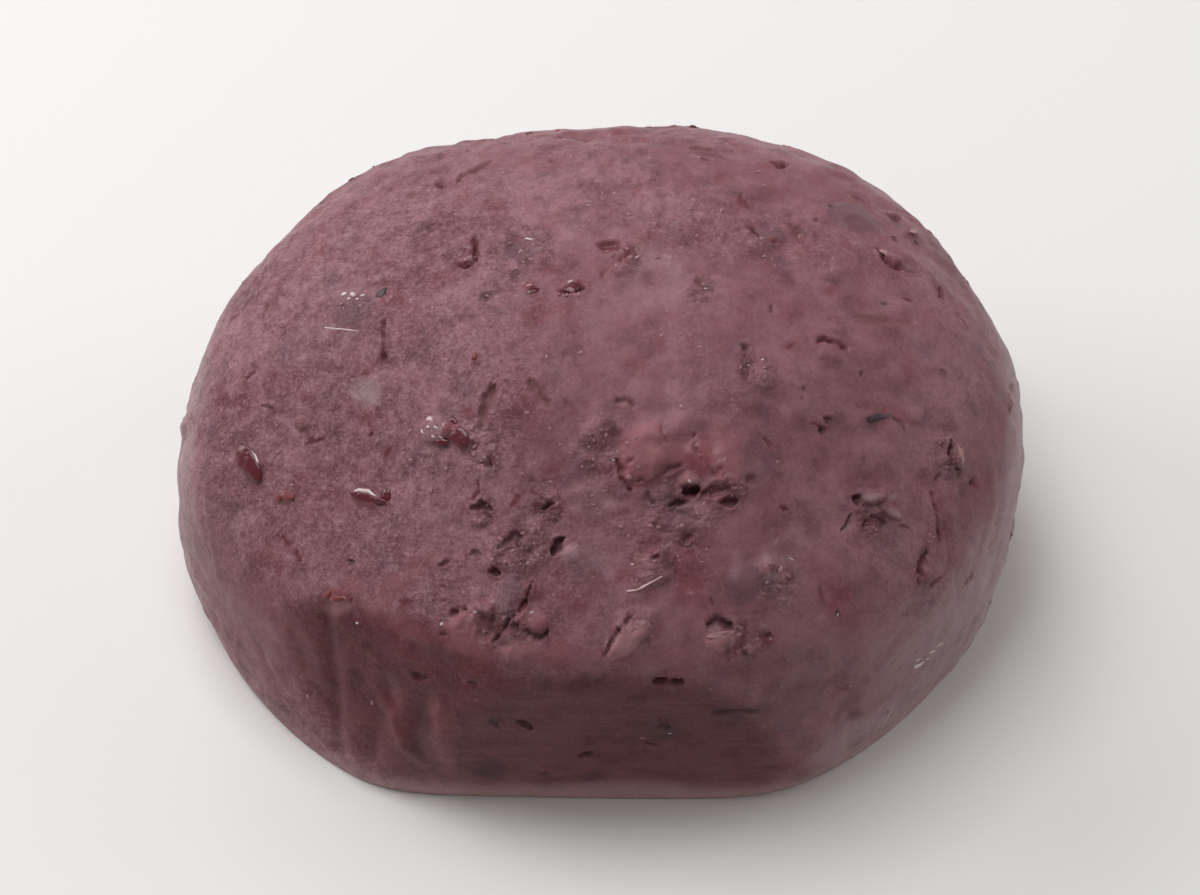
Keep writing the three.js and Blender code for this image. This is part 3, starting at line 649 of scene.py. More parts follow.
class OhagiColours(bpy.types.PropertyGroup):
    """Colours of the paste and of what shows in it."""

    paste: colour("Paste", "Mashed bean paste", (132, 87, 94))
    light_paste: colour("Light paste", "Drier, paler patches of the paste", (154, 111, 117))
    # Painted highlight: this colour is laid as the lit sides of grains and crumbs, as sparkle specks, and as
    # the sheen on glossy beans and on the left of the dome.
    painted_highlight: colour("Grit", "Light sides of the grains", (176, 140, 147))
    # Partly wet pressed paste and partly painted shade: the flat sides, and most of all the front wall, are
    # darkened by it where they lie in shade.
    wall: colour("Pressed wall", "Smooth wet paste of the walls", (100, 43, 48))
    # Painted light: paler at the foot of the front wall, where it stands for light bounced up from the
    # floor.
    foot: colour("Foot", "Paler paste at the foot of the wall", (138, 92, 96))
    # Also laid as painted light on the paste beside the front wall's fold and on the shaded left corner of
    # the rim.
    pink: colour("Pink", "Pink paste squeezed up at a rim", (148, 93, 96))
    # Painted sheen: this colour makes the grey band on the end walls, as well as the whitish haze patches.
    haze_and_sheen: colour("Haze", "Dull bloom on the end walls and whitish haze", (170, 148, 150))
    # Painted light: paler round the base, where it stands for light bounced up from the floor.
    sole: colour("Sole", "Dry pale edge where it stands", (194, 156, 156))
    # Partly wetter paste and partly painted shade on the front wall.
    wet_wall_and_shade: colour("Wet wall", "Wettest paste, on the front wall", (86, 35, 40))
    # Painted shade, partly dark paste: this colour darkens the floors of pits and cuts, the creases between
    # crumbs, the gaps between grains and the front wall, and it also clouds the paste at random.
    dark: colour("Hollow", "Wet paste deep in a pit", (72, 32, 36))
    red: colour("Red skin", "Bean skin near the surface", (120, 48, 52))
    grey: colour("Grey skin", "Bean seen through a thin coat", (102, 76, 86))
    brown: colour("Brown skin", "Dry brown skin", (110, 68, 62))
    slate: colour("Slate", "Dark bean deep under a wet wall", (58, 42, 48))
    peach: colour("Peach", "Torn inside of a bean", (168, 122, 120))
    wet_skin: colour("Wet skin", "Glossy dark bean skin", (92, 26, 33))
    hull: colour("Dark hull", "Slate-coloured scrap of hull", (58, 46, 50))
    flap: colour("Flap", "Pale torn flap of skin", (184, 140, 138))
    string: colour("String", "Pale bean string", (214, 186, 182))
    speck: colour("Speck", "Orange-red scrap of skin", (118, 50, 47))
    # Painted highlight: the pale colour of the beads laid where wet skins catch the light.
    syrup: colour("Syrup", "Beads of syrup", (206, 190, 190))


class OhagiStage(bpy.types.PropertyGroup):
    """Floor, light and camera."""

    floor: colour("Floor", "Plain pale floor", (236, 235, 233))
    sky: share("Surrounding light", "Strength of the light from all round", 0.24, 10)
    key: power("Key light", "Power of the large light overhead", 1.25)
    left: power("Left light", "Power of the light on the left", 1.0)
    right: power("Right light", "Power of the light on the right", 0.45)
    back: power("Back light", "Power of the low light behind", 0.7)
    distance: length("Camera distance", "From the camera to its aim point", 420)
    elevation: angle("Elevation", "Camera's height above the floor", 54)


# ---- Form -------------------------------------------------------------------------------------------------


def unit(vectors):
    """Each row divided by its own length."""
    return vectors / np.maximum(np.linalg.norm(vectors, axis=-1, keepdims=True), TINY)


def power_sum(sizes, power):
    """The power mean without its division: the largest size where one leads, rounded off between equals."""
    return sum(np.abs(size) ** power for size in sizes) ** (1 / power)


def flats_reach(flats, offsets, corner):
    """How far offsets lie past a set of flats: each one's unit normal is the cosine and sine of the way it
    faces, tipped up by its lean."""
    faces, distances, leans = np.array(flats, float).T
    faces, leans = np.radians([faces, leans])
    normals = np.stack([np.cos(faces) * np.cos(leans), np.sin(faces) * np.cos(leans), np.sin(leans)], 1)
    return power_sum(list((np.maximum(offsets @ normals.T, 0) / distances).T), corner)


class Loaf:
    """The smooth loaf: a superellipsoid dome joined with flat walls, and a flat base."""

    def __init__(self, sizes):
        self.height = sizes.height / MM
        self.half = np.array([sizes.half_length, sizes.front_width]) / MM
        self.back_width = sizes.back_width / MM
        self.plan_power = sizes.plan_power
        self.dome_power = sizes.dome_power

    def parts(self, offsets):
        """The share of reach of the dome, the sides and the walls. The dome is (|x/a|^p + |y/b|^p)^(1/p) in
        plan, with b wider at the back, joined with |z/c| by its own power, after the lean and the yaw. A
        wall or side is the offset along its normal over its distance."""
        x0 = offsets[:, 0] - LEAN[0] * offsets[:, 2]
        y0 = offsets[:, 1] - LEAN[1] * offsets[:, 2]
        x = x0 * np.cos(YAW) + y0 * np.sin(YAW)
        y = y0 * np.cos(YAW) - x0 * np.sin(YAW)
        half_height = np.where(offsets[:, 2] > 0, self.height - BELLY, UNDER)
        half_width = np.where(y < 0, self.half[1], self.back_width)
        plan = power_sum([x / self.half[0], y / half_width], self.plan_power)
        oval = power_sum([plan, offsets[:, 2] / half_height], self.dome_power)
        dome = power_sum([oval, flats_reach(SHOULDERS, offsets, WALL_CORNER)], SHOULDER_EDGE)
        return dome, flats_reach(SIDES, offsets, SIDE_CORNER), flats_reach(WALLS, offsets, WALL_CORNER)

    def reach(self, offsets):
        """How many times as far from the centre as the surface an offset is."""
        dome, sides, walls = self.parts(offsets)
        return power_sum([power_sum([dome, sides], SIDE_EDGE), walls], RIM)

    def pressed(self, points):
        """1 on the front walls and 0 elsewhere, then 1 on all the flat sides, from which part of reach
        leads."""
        dome, sides, walls = self.parts(points - CENTRE)
        body = np.maximum(power_sum([dome, sides], SIDE_EDGE), TINY)
        front = smooth(walls / body, 0.985, 1.03)
        return front, np.maximum(front, smooth(sides / np.maximum(dome, TINY), 0.97, 1.08))

    def along(self, directions):
        """Surface points along directions from the centre, stopped by the flat base."""
        scale = 1 / self.reach(directions)
        down = np.where(directions[:, 2] < -TINY, directions[:, 2], -TINY)
        return CENTRE + directions * np.minimum(scale, -BELLY / down)[:, None]

    def normals(self, points):
        """The slope of reach by small steps, made unit length."""
        step = 0.02
        shifts = step * np.eye(3)
        offsets = points - CENTRE
        slopes = [self.reach(offsets + shift) - self.reach(offsets - shift) for shift in shifts]
        return unit(np.stack(slopes, 1))


def view_axes(elevation):
    """The view's forward, right and up."""
    forward = np.array([0, np.cos(elevation), -np.sin(elevation)])
    right = np.array([1.0, 0, 0])
    return forward, right, np.cross(right, forward)


def seen_at(loaf, pixels):
    """The surface points that show at pixels of the view: the first step along each line of sight that is
    inside, found by whole steps and then by halving."""
    stage = bpy.context.scene.ohagi_stage
    distance = stage.distance / MM
    forward, right, up = view_axes(stage.elevation)
    offset = np.asarray(pixels, float).reshape(-1, 2) - VIEW_MIDDLE
    focal = PIXELS_PER_MM * distance
    sight = unit(forward * focal + offset[:, :1] * right - offset[:, 1:] * up)
    eye = AIM - forward * distance
    steps = np.arange(distance - 1.4 * loaf.half[0], distance + loaf.half[0], SIGHT_STEP)
    inside = np.stack([loaf.reach(eye + sight * step - CENTRE) < 1 for step in steps], 1)
    far = steps[np.argmax(inside, 1)]
    near = far - SIGHT_STEP
    for _ in range(HALVINGS):
        middle = (near + far) / 2
        hit = loaf.reach(eye + sight * middle[:, None] - CENTRE) < 1
        far = np.where(hit, middle, far)
        near = np.where(hit, near, middle)
    points = eye + sight * near[:, None]
    points[~inside.any(1)] = np.nan
    return points


def placed(loaf, marks):
    """Marks whose first value is one or more pixels of the view, with those turned into surface points, all
    in one go."""
    lines = [np.reshape(mark[0], (-1, 2)) for mark in marks]
    ends = np.cumsum([len(line) for line in lines])
    points = np.split(seen_at(loaf, np.concatenate(lines)), ends[:-1])
    return [(line, *mark[1:]) for line, mark in zip(points, marks)]


def ahead_of(pixel, turn):
    """A pixel a little way off, at a turn in degrees from the view's horizontal."""
    turn = np.radians(turn)
    return pixel[0] + AHEAD * np.cos(turn), pixel[1] - AHEAD * np.sin(turn)


def faces_view(normals, least=0.2):
    """True where the view looks square enough at the surface for the lists above to cover it."""
    elevation = bpy.context.scene.ohagi_stage.elevation
    return normals @ -view_axes(elevation)[0] > least


# ---- Noise ------------------------------------------------------------------------------------------------


def corner_value(cells, seed):
    """A repeatable random number from -1 to 1 for each whole-number corner: its coordinates multiplied by
    large odd numbers, mixed and shifted."""
    x, y, z = cells[..., 0], cells[..., 1], cells[..., 2]
    mixed = x * 73856093 ^ y * 19349663 ^ z * 83492791 ^ seed * 2654435761
    mixed = (mixed ^ (mixed >> 13)) * 1274126177 & 0xFFFFFFFF
    mixed = (mixed ^ (mixed >> 16)) & 0xFFFFFF
    return mixed / 0x7FFFFF - 1


def noise(points, wavelength, seed):
    """Value noise: random corner values blended by 3t^2 - 2t^3 along each axis."""
    scaled = points / wavelength + 1000
    cell = np.floor(scaled).astype(np.int64)
    part = scaled - cell
    blend = part * part * (3 - 2 * part)
    total = 0
    for corner in np.ndindex(2, 2, 2):
        weight = np.prod(np.where(corner, blend, 1 - blend), axis=-1)
        total = total + weight * corner_value(cell + np.array(corner), seed)
    return total


def layered(points, wavelength, layers, seed):
    """Noise at a wavelength and at its halves, each half as strong."""
    return sum(noise(points, wavelength / 2**i, seed + i) / 2**i for i in range(layers))


def smooth(value, low, high):
    """0 below low, 1 above high, and 3t^2 - 2t^3 between."""
    t = np.clip((value - low) / (high - low), 0, 1)
    return t * t * (3 - 2 * t)


# ---- Relief -----------------------------------------------------------------------------------------------

SWELL_WAVES = 9
SWELL_LONGEST, SWELL_SHORTEST = 24, 12
FOLD_COUNT, FOLD_WIDE, FOLD_DEEP, FOLD_TOP = 15, 2.2, 0.22, 15
ROUGHEN = 0.19  # how far noise moves a mark's edge, in millimetres
FLOOR_SHADE = {"s": 0, "b": 0.4}  # how much painted shade darkens the floor of a cut, for the tints where that isn't the usual amount below
USUAL_FLOOR_SHADE = 0.8

# Wavelengths of the coat's noises, in millimetres.
BEAN_WAVE = 4.2  # soft waves the size of a bean
CRUMB_WAVE = 1.9  # rounded crumbs
RIPPLE_WAVE = 1.2  # unevenness between them
PATCH_WAVE = 6.5  # crumbled patches
GRIT_WAVE = 9  # gritty patches


def spiral(count):
    """Directions spread over the sphere on a golden-angle spiral."""
    place = np.arange(count)
    height = 1 - 2 * (place + 0.5) / count
    radius = np.sqrt(1 - height**2)
    return np.stack([radius * np.cos(place * GOLDEN), radius * np.sin(place * GOLDEN), height], 1)


def swells(points, strength):
    """A sum of long sines, with directions on a golden-angle spiral and phases that step by that angle."""
    place = np.arange(SWELL_WAVES)
    lengths = SWELL_LONGEST + (SWELL_SHORTEST - SWELL_LONGEST) * (place + 0.5) / SWELL_WAVES
    waves = spiral(SWELL_WAVES) * (2 * np.pi / lengths)[:, None]
    return strength * np.sin(points @ waves.T + place * GOLDEN).sum(1)


def folds(points):
    """Upright folds round the walls: narrow bell curves at uneven turns, which fade out towards the rim."""
    place = np.arange(FOLD_COUNT)
    turns = (place + 0.35 * np.sin(3 * place)) / FOLD_COUNT * 2 * np.pi
    depths = FOLD_DEEP * (0.6 + 0.4 * np.sin(5 * place))
    turn = np.arctan2(points[:, 1], points[:, 0])[:, None]
    apart = np.abs((turn - turns + np.pi) % (2 * np.pi) - np.pi)
    radius = np.hypot(points[:, 0], points[:, 1])[:, None]
    bells = depths * np.exp(-((apart * radius / FOLD_WIDE) ** 2))
    return -bells.sum(1) * smooth(FOLD_TOP - points[:, 2], 0, FOLD_TOP / 2)


def line_distance(points, line):
    """Distance to a line of points, the offset's side of it as the cross product of the nearest stretch's
    direction with the offset, and the nearest place as a share of the line's length."""
    nearest = np.full(len(points), np.inf)
    side = np.zeros((len(points), 3))
    place = np.zeros(len(points))
    lengths = np.linalg.norm(np.diff(line, axis=0), axis=1)
    before = np.concatenate([[0], np.cumsum(lengths)])
    for start, end, behind, length in zip(line[:-1], line[1:], before, lengths):
        way = end - start
        part = np.clip((points - start) @ way / max(way @ way, TINY), 0, 1)
        offset = points - start - part[:, None] * way
        apart = np.linalg.norm(offset, axis=1)
        closer = apart < nearest
        nearest = np.where(closer, apart, nearest)
        side[closer] = np.cross(unit(way), offset[closer])
        place = np.where(closer, (behind + part * length) / max(before[-1], TINY), place)
    return nearest, side, place


class Marks:
    """Every mark in the paste, placed on the loaf. Those that the view doesn't reach are drawn at random."""

    def __init__(self, loaf, seed):
        self.loaf = loaf
        self.cuts = placed(loaf, CUTS)
        self.steps = placed(loaf, STEPS)
        self.creases = placed(loaf, CREASES)
        self.lumps = self.turned(LUMPS)
        self.blotches = self.turned([(*mark[:3], 0, *mark[3:]) for mark in BLOTCHES])
        self.patches = [(middle[0], radius) for middle, radius in placed(loaf, CRUMBLED)]
        self.add_hidden(np.random.RandomState(seed))

    def turned(self, marks):
        """Lumps with their own long and cross directions on the surface."""
        ends = [([mark[0], ahead_of(mark[0], mark[4])], *mark[1:]) for mark in marks]
        return [
            (start, *self.directions(start, end - start), long, wide, high, tint, power)
            for (start, end), long, wide, high, _, tint, power in placed(self.loaf, ends)
        ]

    def directions(self, point, way):
        """The surface's own unit directions at a point: along the given way, and across it."""
        normal = self.loaf.normals(point[None])[0]
        along = unit(way - way @ normal * normal)
        return along, np.cross(normal, along)

    def hidden_points(self, draw, count, least=0.2):
        """Random surface points that the view doesn't reach, clear of the base."""
        points = self.loaf.along(unit(draw.normal(size=(count * 12, 3))))
        hidden = (points[:, 2] > 1.2) & ~faces_view(self.loaf.normals(points), least)
        return points[hidden][:count]

    def add_small(self, draw, count):
        """Small spots all over the dome, too many to list, and a scratch in every fourth one."""
        points = self.loaf.along(unit(draw.normal(size=(count * 4, 3))))
        points = points[self.loaf.pressed(points)[1] < 0.3]
        for index, point in enumerate(points[points[:, 2] > 9][:count]):
            along, across = self.directions(point, draw.normal(size=3))
            long = draw.uniform(0.3, 0.9)
            wide = long * draw.uniform(0.3, 0.8)
            tint = draw.choice(list("drbrg"))
            self.blotches.append((point, along, across, long, wide, 0, tint, draw.uniform(0.25, 0.6)))
            if index % 4 == 0:
                line = self.loaf.along(point + np.outer([-0.5, 0.1, 0.4], along) - CENTRE)
                self.cuts.append((line, draw.uniform(0.12, 0.22), draw.uniform(0.12, 0.3), "r"))

    def add_hidden(self, draw):
        """The random marks. Walls have fewer and shallower ones than the dome."""
        for point in self.hidden_points(draw, HIDDEN_CUTS):
            line = [point]
            way = unit(draw.normal(size=3)) * draw.uniform(0.3, 0.9)
            for _ in range(draw.randint(1, 4)):
                way = way + draw.normal(size=3) * 0.2
                line.append(self.loaf.along((line[-1] + way - CENTRE)[None])[0])
            wide = draw.uniform(0.15, 0.45)
            deep = wide * draw.uniform(0.8, 1.9)
            self.cuts.append((np.array(line), wide, deep, draw.choice(list("drdb"))))
        for point in self.hidden_points(draw, HIDDEN_LUMPS, -0.15):
            along, across = self.directions(point, draw.normal(size=3))
            long = draw.uniform(0.6, 2.2)
            shape = (long, long * draw.uniform(0.45, 0.8), draw.uniform(0.08, 0.22))
            tint = draw.choice(["r", "g", "b", "p", "", ""])
            self.lumps.append((point, along, across, *shape, tint, draw.choice([2, 3])))
        self.add_small(draw, SMALL_SPOTS)

    def relief(self, points, normals, pressed):
        """How far the marks move the surface outwards at points, how much of each tint they give it, and how
        smooth they make it."""
        ground = Ground(points, normals, pressed)
        for index, mark in enumerate(self.cuts):
            ground.cut(index, *mark)
        for mark in self.lumps:
            ground.lump(*mark)
        for mark in self.blotches:
            ground.blotch(*mark)
        for mark in self.creases:
            ground.crease(*mark)
        for mark in self.steps:
            ground.step(*mark)
        return ground.raised - ground.sunk, ground.tints, ground.even

    def crumbled(self, points):
        """1 in crumbled patches and 0 in smooth paste: the listed patches, and random ones everywhere."""
        amount = 0.5 * smooth(layered(points, PATCH_WAVE, 2, 51), 0.1, 0.75)
        ragged = 0.35 * layered(points, 1.6, 2, 53)
        for middle, radius in self.patches:
            apart = np.linalg.norm(points - middle, axis=1) / radius
            amount = np.maximum(amount, 1 - smooth(apart + ragged, 0.45, 1.15))
        return amount

    def is_near(self, points):
        """True close to a mark with an edge that needs the finer mesh."""
        near = np.zeros(len(points), bool)
        for line, wide, deep, _ in self.cuts:
            if deep / wide > 0.55:
                near |= line_distance(points, line)[0] < wide + 0.25
        for middle, along, across, long, wide, _, _, power in self.lumps:
            if power > 2:
                offset = points - middle
                edge = share_of_oval(offset, along, across, long + 0.3, wide + 0.3)
                near |= (edge < 1.05) & (np.abs(np.cross(along, across) @ offset.T) < 3)
        return near


class Ground:
    """Points of the coat, with what the marks have made of them so far: how far they are raised and sunk,
    how much of each tint they have, and how smooth they are."""

    def __init__(self, points, normals, pressed):
        self.points = points
        self.normals = normals
        self.calm = 1 - 0.4 * pressed  # cuts are less ragged on pressed walls
        self.ragged = ROUGHEN * (noise(points, 0.7, 31) + 0.7 * noise(points, 0.33, 32))
        self.raised = np.zeros(len(points))
        self.sunk = np.zeros(len(points))
        self.even = np.zeros(len(points))
        self.tints = {tint: np.zeros(len(points)) for tint in TINTS}

    def near(self, line, reach):
        """Where in the arrays the points lie that are within reach of the ball round a line of points."""
        middle = line.mean(0)
        radius = np.linalg.norm(line - middle, axis=1).max() + reach
        return np.flatnonzero(((self.points - middle) ** 2).sum(1) < radius**2)

    def blot(self, tint, near, amount):
        """Raises a tint to at least an amount."""
        if tint:
            self.tints[tint][near] = np.maximum(self.tints[tint][near], amount)

    def cut(self, index, line, wide, deep, tint):
        """A pit, slit or crack: it narrows to its ends, more to one of them, one side is steeper, its edge
        is ragged, and a low lip stands round it. Every second one is steeper on the other side. Its floor is
        darkened with the "d" tint as painted shade."""
        near = self.near(line, 3 * wide + 1)
        here = self.points[near]
        apart, side, place = line_distance(here, line)
        steep = np.tanh((side * self.normals[near]).sum(1) / 0.1) * (-1) ** index
        width = wide * (1 + 0.7 * noise(here, 0.5 + 1.2 * wide, 40 + index)) * (1 + 0.3 * steep)
        skewed = place ** (0.6 + index * GOLDEN % 0.9)
        width = width * np.sqrt(1 - 0.85 * (2 * skewed - 1) ** 2)
        rough = self.ragged[near] * min(1.2, wide / 0.25) * self.calm[near]
        edge = np.maximum(apart + rough, 0) / np.maximum(width, 0.05)
        floor = 0.52 * deep * np.clip(1 - edge**1.3, 0, 1) ** 1.4
        self.sunk[near] = np.maximum(self.sunk[near], floor)
        self.raised[near] += 0.14 * min(deep, 0.6) * np.exp(-(((edge - 1.5) / 0.6) ** 2)) * (1 - 0.6 * steep)
        fade = 0.75 + 0.35 * noise(here, 0.7, 90 + index)
        self.blot(tint, near, fade * (1 - smooth(edge, 0.5, 1.5)))
        pit_shade = min(1, 1.6 * deep) * (1 - smooth(edge, 0.25, 1.0))
        self.blot("d", near, pit_shade * fade * FLOOR_SHADE.get(tint, USUAL_FLOOR_SHADE))

    def lump(self, middle, along, across, long, wide, high, tint, power):
        """An oval hump with an uneven outline. Long ones are smooth."""
        near = self.near(middle[None], 1.3 * max(long, wide))
        edge = share_of_oval(self.points[near] - middle, along, across, long, wide)
        edge = edge + self.ragged[near] * 0.9 / min(long, wide)
        self.raised[near] += high * np.clip(1 - np.maximum(edge, 0) ** power, 0, 1) ** (1.5 / power + 0.25)
        self.blot(tint, near, 0.8 * (1 - smooth(edge, 0.75, 1.1)))
        even = (1 - smooth(edge, 0.5, 1.2)) * smooth(long, 1.2, 1.8)
        self.even[near] = np.maximum(self.even[near], even)

    def blotch(self, middle, along, across, long, wide, _, tint, strength):
        """An oval of colour with a cloudy edge."""
        near = self.near(middle[None], 2 * max(long, wide))
        edge = share_of_oval(self.points[near] - middle, along, across, long, wide)
        edge = edge + 0.5 * noise(self.points[near], 0.9, 33)
        self.blot(tint, near, strength * (1 - smooth(edge, 0.35, 1.35)))

    def crease(self, line, wide, deep):
        """A soft furrow with the section of a bell curve."""
        apart = line_distance(self.points, line)[0]
        self.sunk += deep * np.exp(-((apart / wide) ** 2))

    def step(self, line, high, back, tint):
        """An edge whose left side is raised, most at the line, fading out behind it and at its ends."""
        near = self.near(line, 3 * back)
        apart, side, _ = line_distance(self.points[near], line)
        left = smooth((side * self.normals[near]).sum(1) + self.ragged[near], -0.12, 0.12)
        fade = smooth(end_distance(self.points[near], line), 0, 1.5 * back)
        self.raised[near] += high * left * np.exp(-((apart / back) ** 2)) * fade
        self.blot(tint, near, 0.7 * left * np.exp(-((2 * apart / back) ** 2)) * fade)


def share_of_oval(offset, along, across, long, wide):
    """How far out from an oval's middle an offset lies, as a share of the oval."""
    return np.hypot(offset @ along / long, offset @ across / wide)


def end_distance(points, line):
    """Distance to the nearer end of a line."""
    starts, ends = (np.linalg.norm(points - end, axis=1) for end in (line[0], line[-1]))
    return np.minimum(starts, ends)


# ---- Meshes -----------------------------------------------------------------------------------------------


def put_mesh(name, points, corners, starts, material, attributes=None):
    """A smooth-shaded object at the origin: points in millimetres, and faces as one row of corners with the
    place where each face starts."""
    mesh = bpy.data.meshes.new(name)
    mesh.vertices.add(len(points))
    mesh.vertices.foreach_set("co", (points * MM).astype(np.float32).ravel())
    mesh.loops.add(len(corners))
    mesh.loops.foreach_set("vertex_index", corners.astype(np.int32))
    mesh.polygons.add(len(starts))
    mesh.polygons.foreach_set("loop_start", starts.astype(np.int32))
    mesh.polygons.foreach_set("use_smooth", np.ones(len(starts), bool))
    for key, values in (attributes or {}).items():
        mesh.attributes.new(key, "FLOAT", "POINT").data.foreach_set("value", values.astype(np.float32))
    mesh.update(calc_edges=True)
    mesh.validate()
    mesh.materials.append(material)
    piece = bpy.data.objects.new(name, mesh)
    bpy.context.scene.collection.objects.link(piece)
    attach(piece, BODY)
    return piece


class Lattice:
    """The coat's mesh. A box is ruled into fine cells and blown out onto the loaf. Fine cells are kept only
    near marks, blocks of BLOCK x BLOCK make the rest, and blocks of BASE_BLOCK the flat base. A block's face
    takes in every lattice point that a finer neighbour has put on its edge, so the mesh stays closed."""

    COUNTS = np.array([360, 300, 108])  # fine cells along each edge of the box
    BLOCK = 2
    BASE_BLOCK = 12
    TOP_REACH = 14.5  # height above the belly that the box's top edges aim at

    def __init__(self, loaf, marks):
        self.loaf = loaf
        fine, plain, base = [], [], []
        for axis in range(3):
            for side in (0, 1):
                if axis == 2 and side == 0:
                    blocks = self.blocks(axis, side, self.BASE_BLOCK)
                    rim = ~self.is_flat(self.ring(blocks, self.BASE_BLOCK))
                    base.append(self.ring(blocks[~rim], self.BASE_BLOCK))
                    blocks = self.split(blocks[rim], self.BASE_BLOCK, self.BLOCK)
                else:
                    blocks = self.blocks(axis, side, self.BLOCK)
                middle = self.surface(self.corner(blocks, self.BLOCK / 2, self.BLOCK / 2))
                near = marks.is_near(middle) & (middle[:, 2] > 0.3)
                fine.append(self.ring(self.split(blocks[near], self.BLOCK, 1), 1))
                plain.append(self.ring(blocks[~near], self.BLOCK))
        self.corners, self.starts, used = [], [], np.zeros(0, np.int64)
        for rings in (fine, plain, base):
            rings = np.concatenate(rings)
            spacing = rings.shape[1] // 4
            kept = np.isin(rings, used)
            kept[:, ::spacing] = True
            self.corners.append(rings[kept])
            self.starts.append(kept.sum(1))
            used = np.union1d(used, rings[kept])
        used, self.corners = np.unique(np.concatenate(self.corners), return_inverse=True)
        self.starts = np.concatenate([[0], np.cumsum(np.concatenate(self.starts))[:-1]])
        self.points = self.surface(self.coordinates(used))

    def blocks(self, axis, side, size):
        """All blocks of a size on one face of the box: rows of axis, side and the first corner's two
        places."""
        first, second = self.COUNTS[(axis + 1) % 3], self.COUNTS[(axis + 2) % 3]
        i, j = np.meshgrid(np.arange(0, first, size), np.arange(0, second, size), indexing="ij")
        return np.stack([np.full(i.size, axis), np.full(i.size, side), i.ravel(), j.ravel()], 1)

    def split(self, blocks, size, into):
        """Blocks cut into smaller ones."""
        i, j = np.meshgrid(np.arange(0, size, into), np.arange(0, size, into), indexing="ij")
        small = np.repeat(blocks, i.size, 0)
        small[:, 2] += np.tile(i.ravel(), len(blocks))
        small[:, 3] += np.tile(j.ravel(), len(blocks))
        return small

    def corner(self, blocks, i, j):
        """Box coordinates of a place in each block."""
        place = np.zeros((len(blocks), 3))
        row = np.arange(len(blocks))
        axis = blocks[:, 0]
        place[row, axis] = blocks[:, 1] * self.COUNTS[axis]
        place[row, (axis + 1) % 3] = blocks[:, 2] + i
        place[row, (axis + 2) % 3] = blocks[:, 3] + j
        return place

    def ring(self, blocks, size):
        """Numbers of the lattice points round each block, turning so that the face points outwards."""
        step = np.arange(size)
        i = np.concatenate([step, np.full(size, size), size - step, np.zeros(size, int)])
        j = np.concatenate([np.zeros(size, int), step, np.full(size, size), size - step])
        rings = [self.number(self.corner(blocks, *place)) for place in zip(i, j)]
        rings = np.stack(rings, 1)
        turned = np.roll(rings[:, ::-1], 1, axis=1)
        return np.where(blocks[:, 1:2] == 1, rings, turned)

    def number(self, place):
        """One whole number for each lattice point."""
        place = np.round(place).astype(np.int64)
        return (place[:, 0] * (self.COUNTS[1] + 1) + place[:, 1]) * (self.COUNTS[2] + 1) + place[:, 2]

    def coordinates(self, numbers):
        """The box coordinates behind the numbers."""
        rest, z = np.divmod(numbers, self.COUNTS[2] + 1)
        x, y = np.divmod(rest, self.COUNTS[1] + 1)
        return np.stack([x, y, z], 1).astype(float)

    def surface(self, place):
        """Surface points of box coordinates: even angles by a tangent, drawn out to the loaf's proportions,
        with the box's bottom edge aimed at the foot of the walls."""
        across = np.tan((2 * place / self.COUNTS - 1) * np.pi / 4)
        tall = np.where(across[:, 2] > 0, self.TOP_REACH, BELLY)
        long, wide = (np.full(len(place), half) for half in self.loaf.half)
        return self.loaf.along(across * np.stack([long, wide, tall], 1))

    def is_flat(self, rings):
        """True for blocks that lie wholly on the flat base."""
        heights = self.surface(self.coordinates(rings.ravel()))[:, 2]
        return (heights.reshape(rings.shape) < TINY).all(1)


# ---- Materials --------------------------------------------------------------------------------------------


class Value:
    """A number that varies over the surface. Operators on it add Math nodes to the material."""

    def __init__(self, finish, socket):
        self.finish = finish
        self.socket = socket

    def maths(self, operation, *values):
        """One Math node, with this finish's inputs in order."""
        node = self.finish.node("ShaderNodeMath", {"operation": operation}, dict(enumerate(values)))
        return Value(self.finish, node.outputs[0])

    def __add__(self, other):
        return self.maths("ADD", self, other)

    def __sub__(self, other):
        return self.maths("SUBTRACT", self, other)

    def __rsub__(self, other):
        return self.maths("SUBTRACT", other, self)

    def __mul__(self, other):
        return self.maths("MULTIPLY", self, other)

    __radd__ = __add__
    __rmul__ = __mul__

    def between(self, low, high):
        """0 below low, 1 above high, and a smooth step between."""
        settings = {"interpolation_type": "SMOOTHSTEP"}
        sockets = {"Value": self, "From Min": low, "From Max": high}
        return Value(self.finish, self.finish.node("ShaderNodeMapRange", settings, sockets).outputs[0])


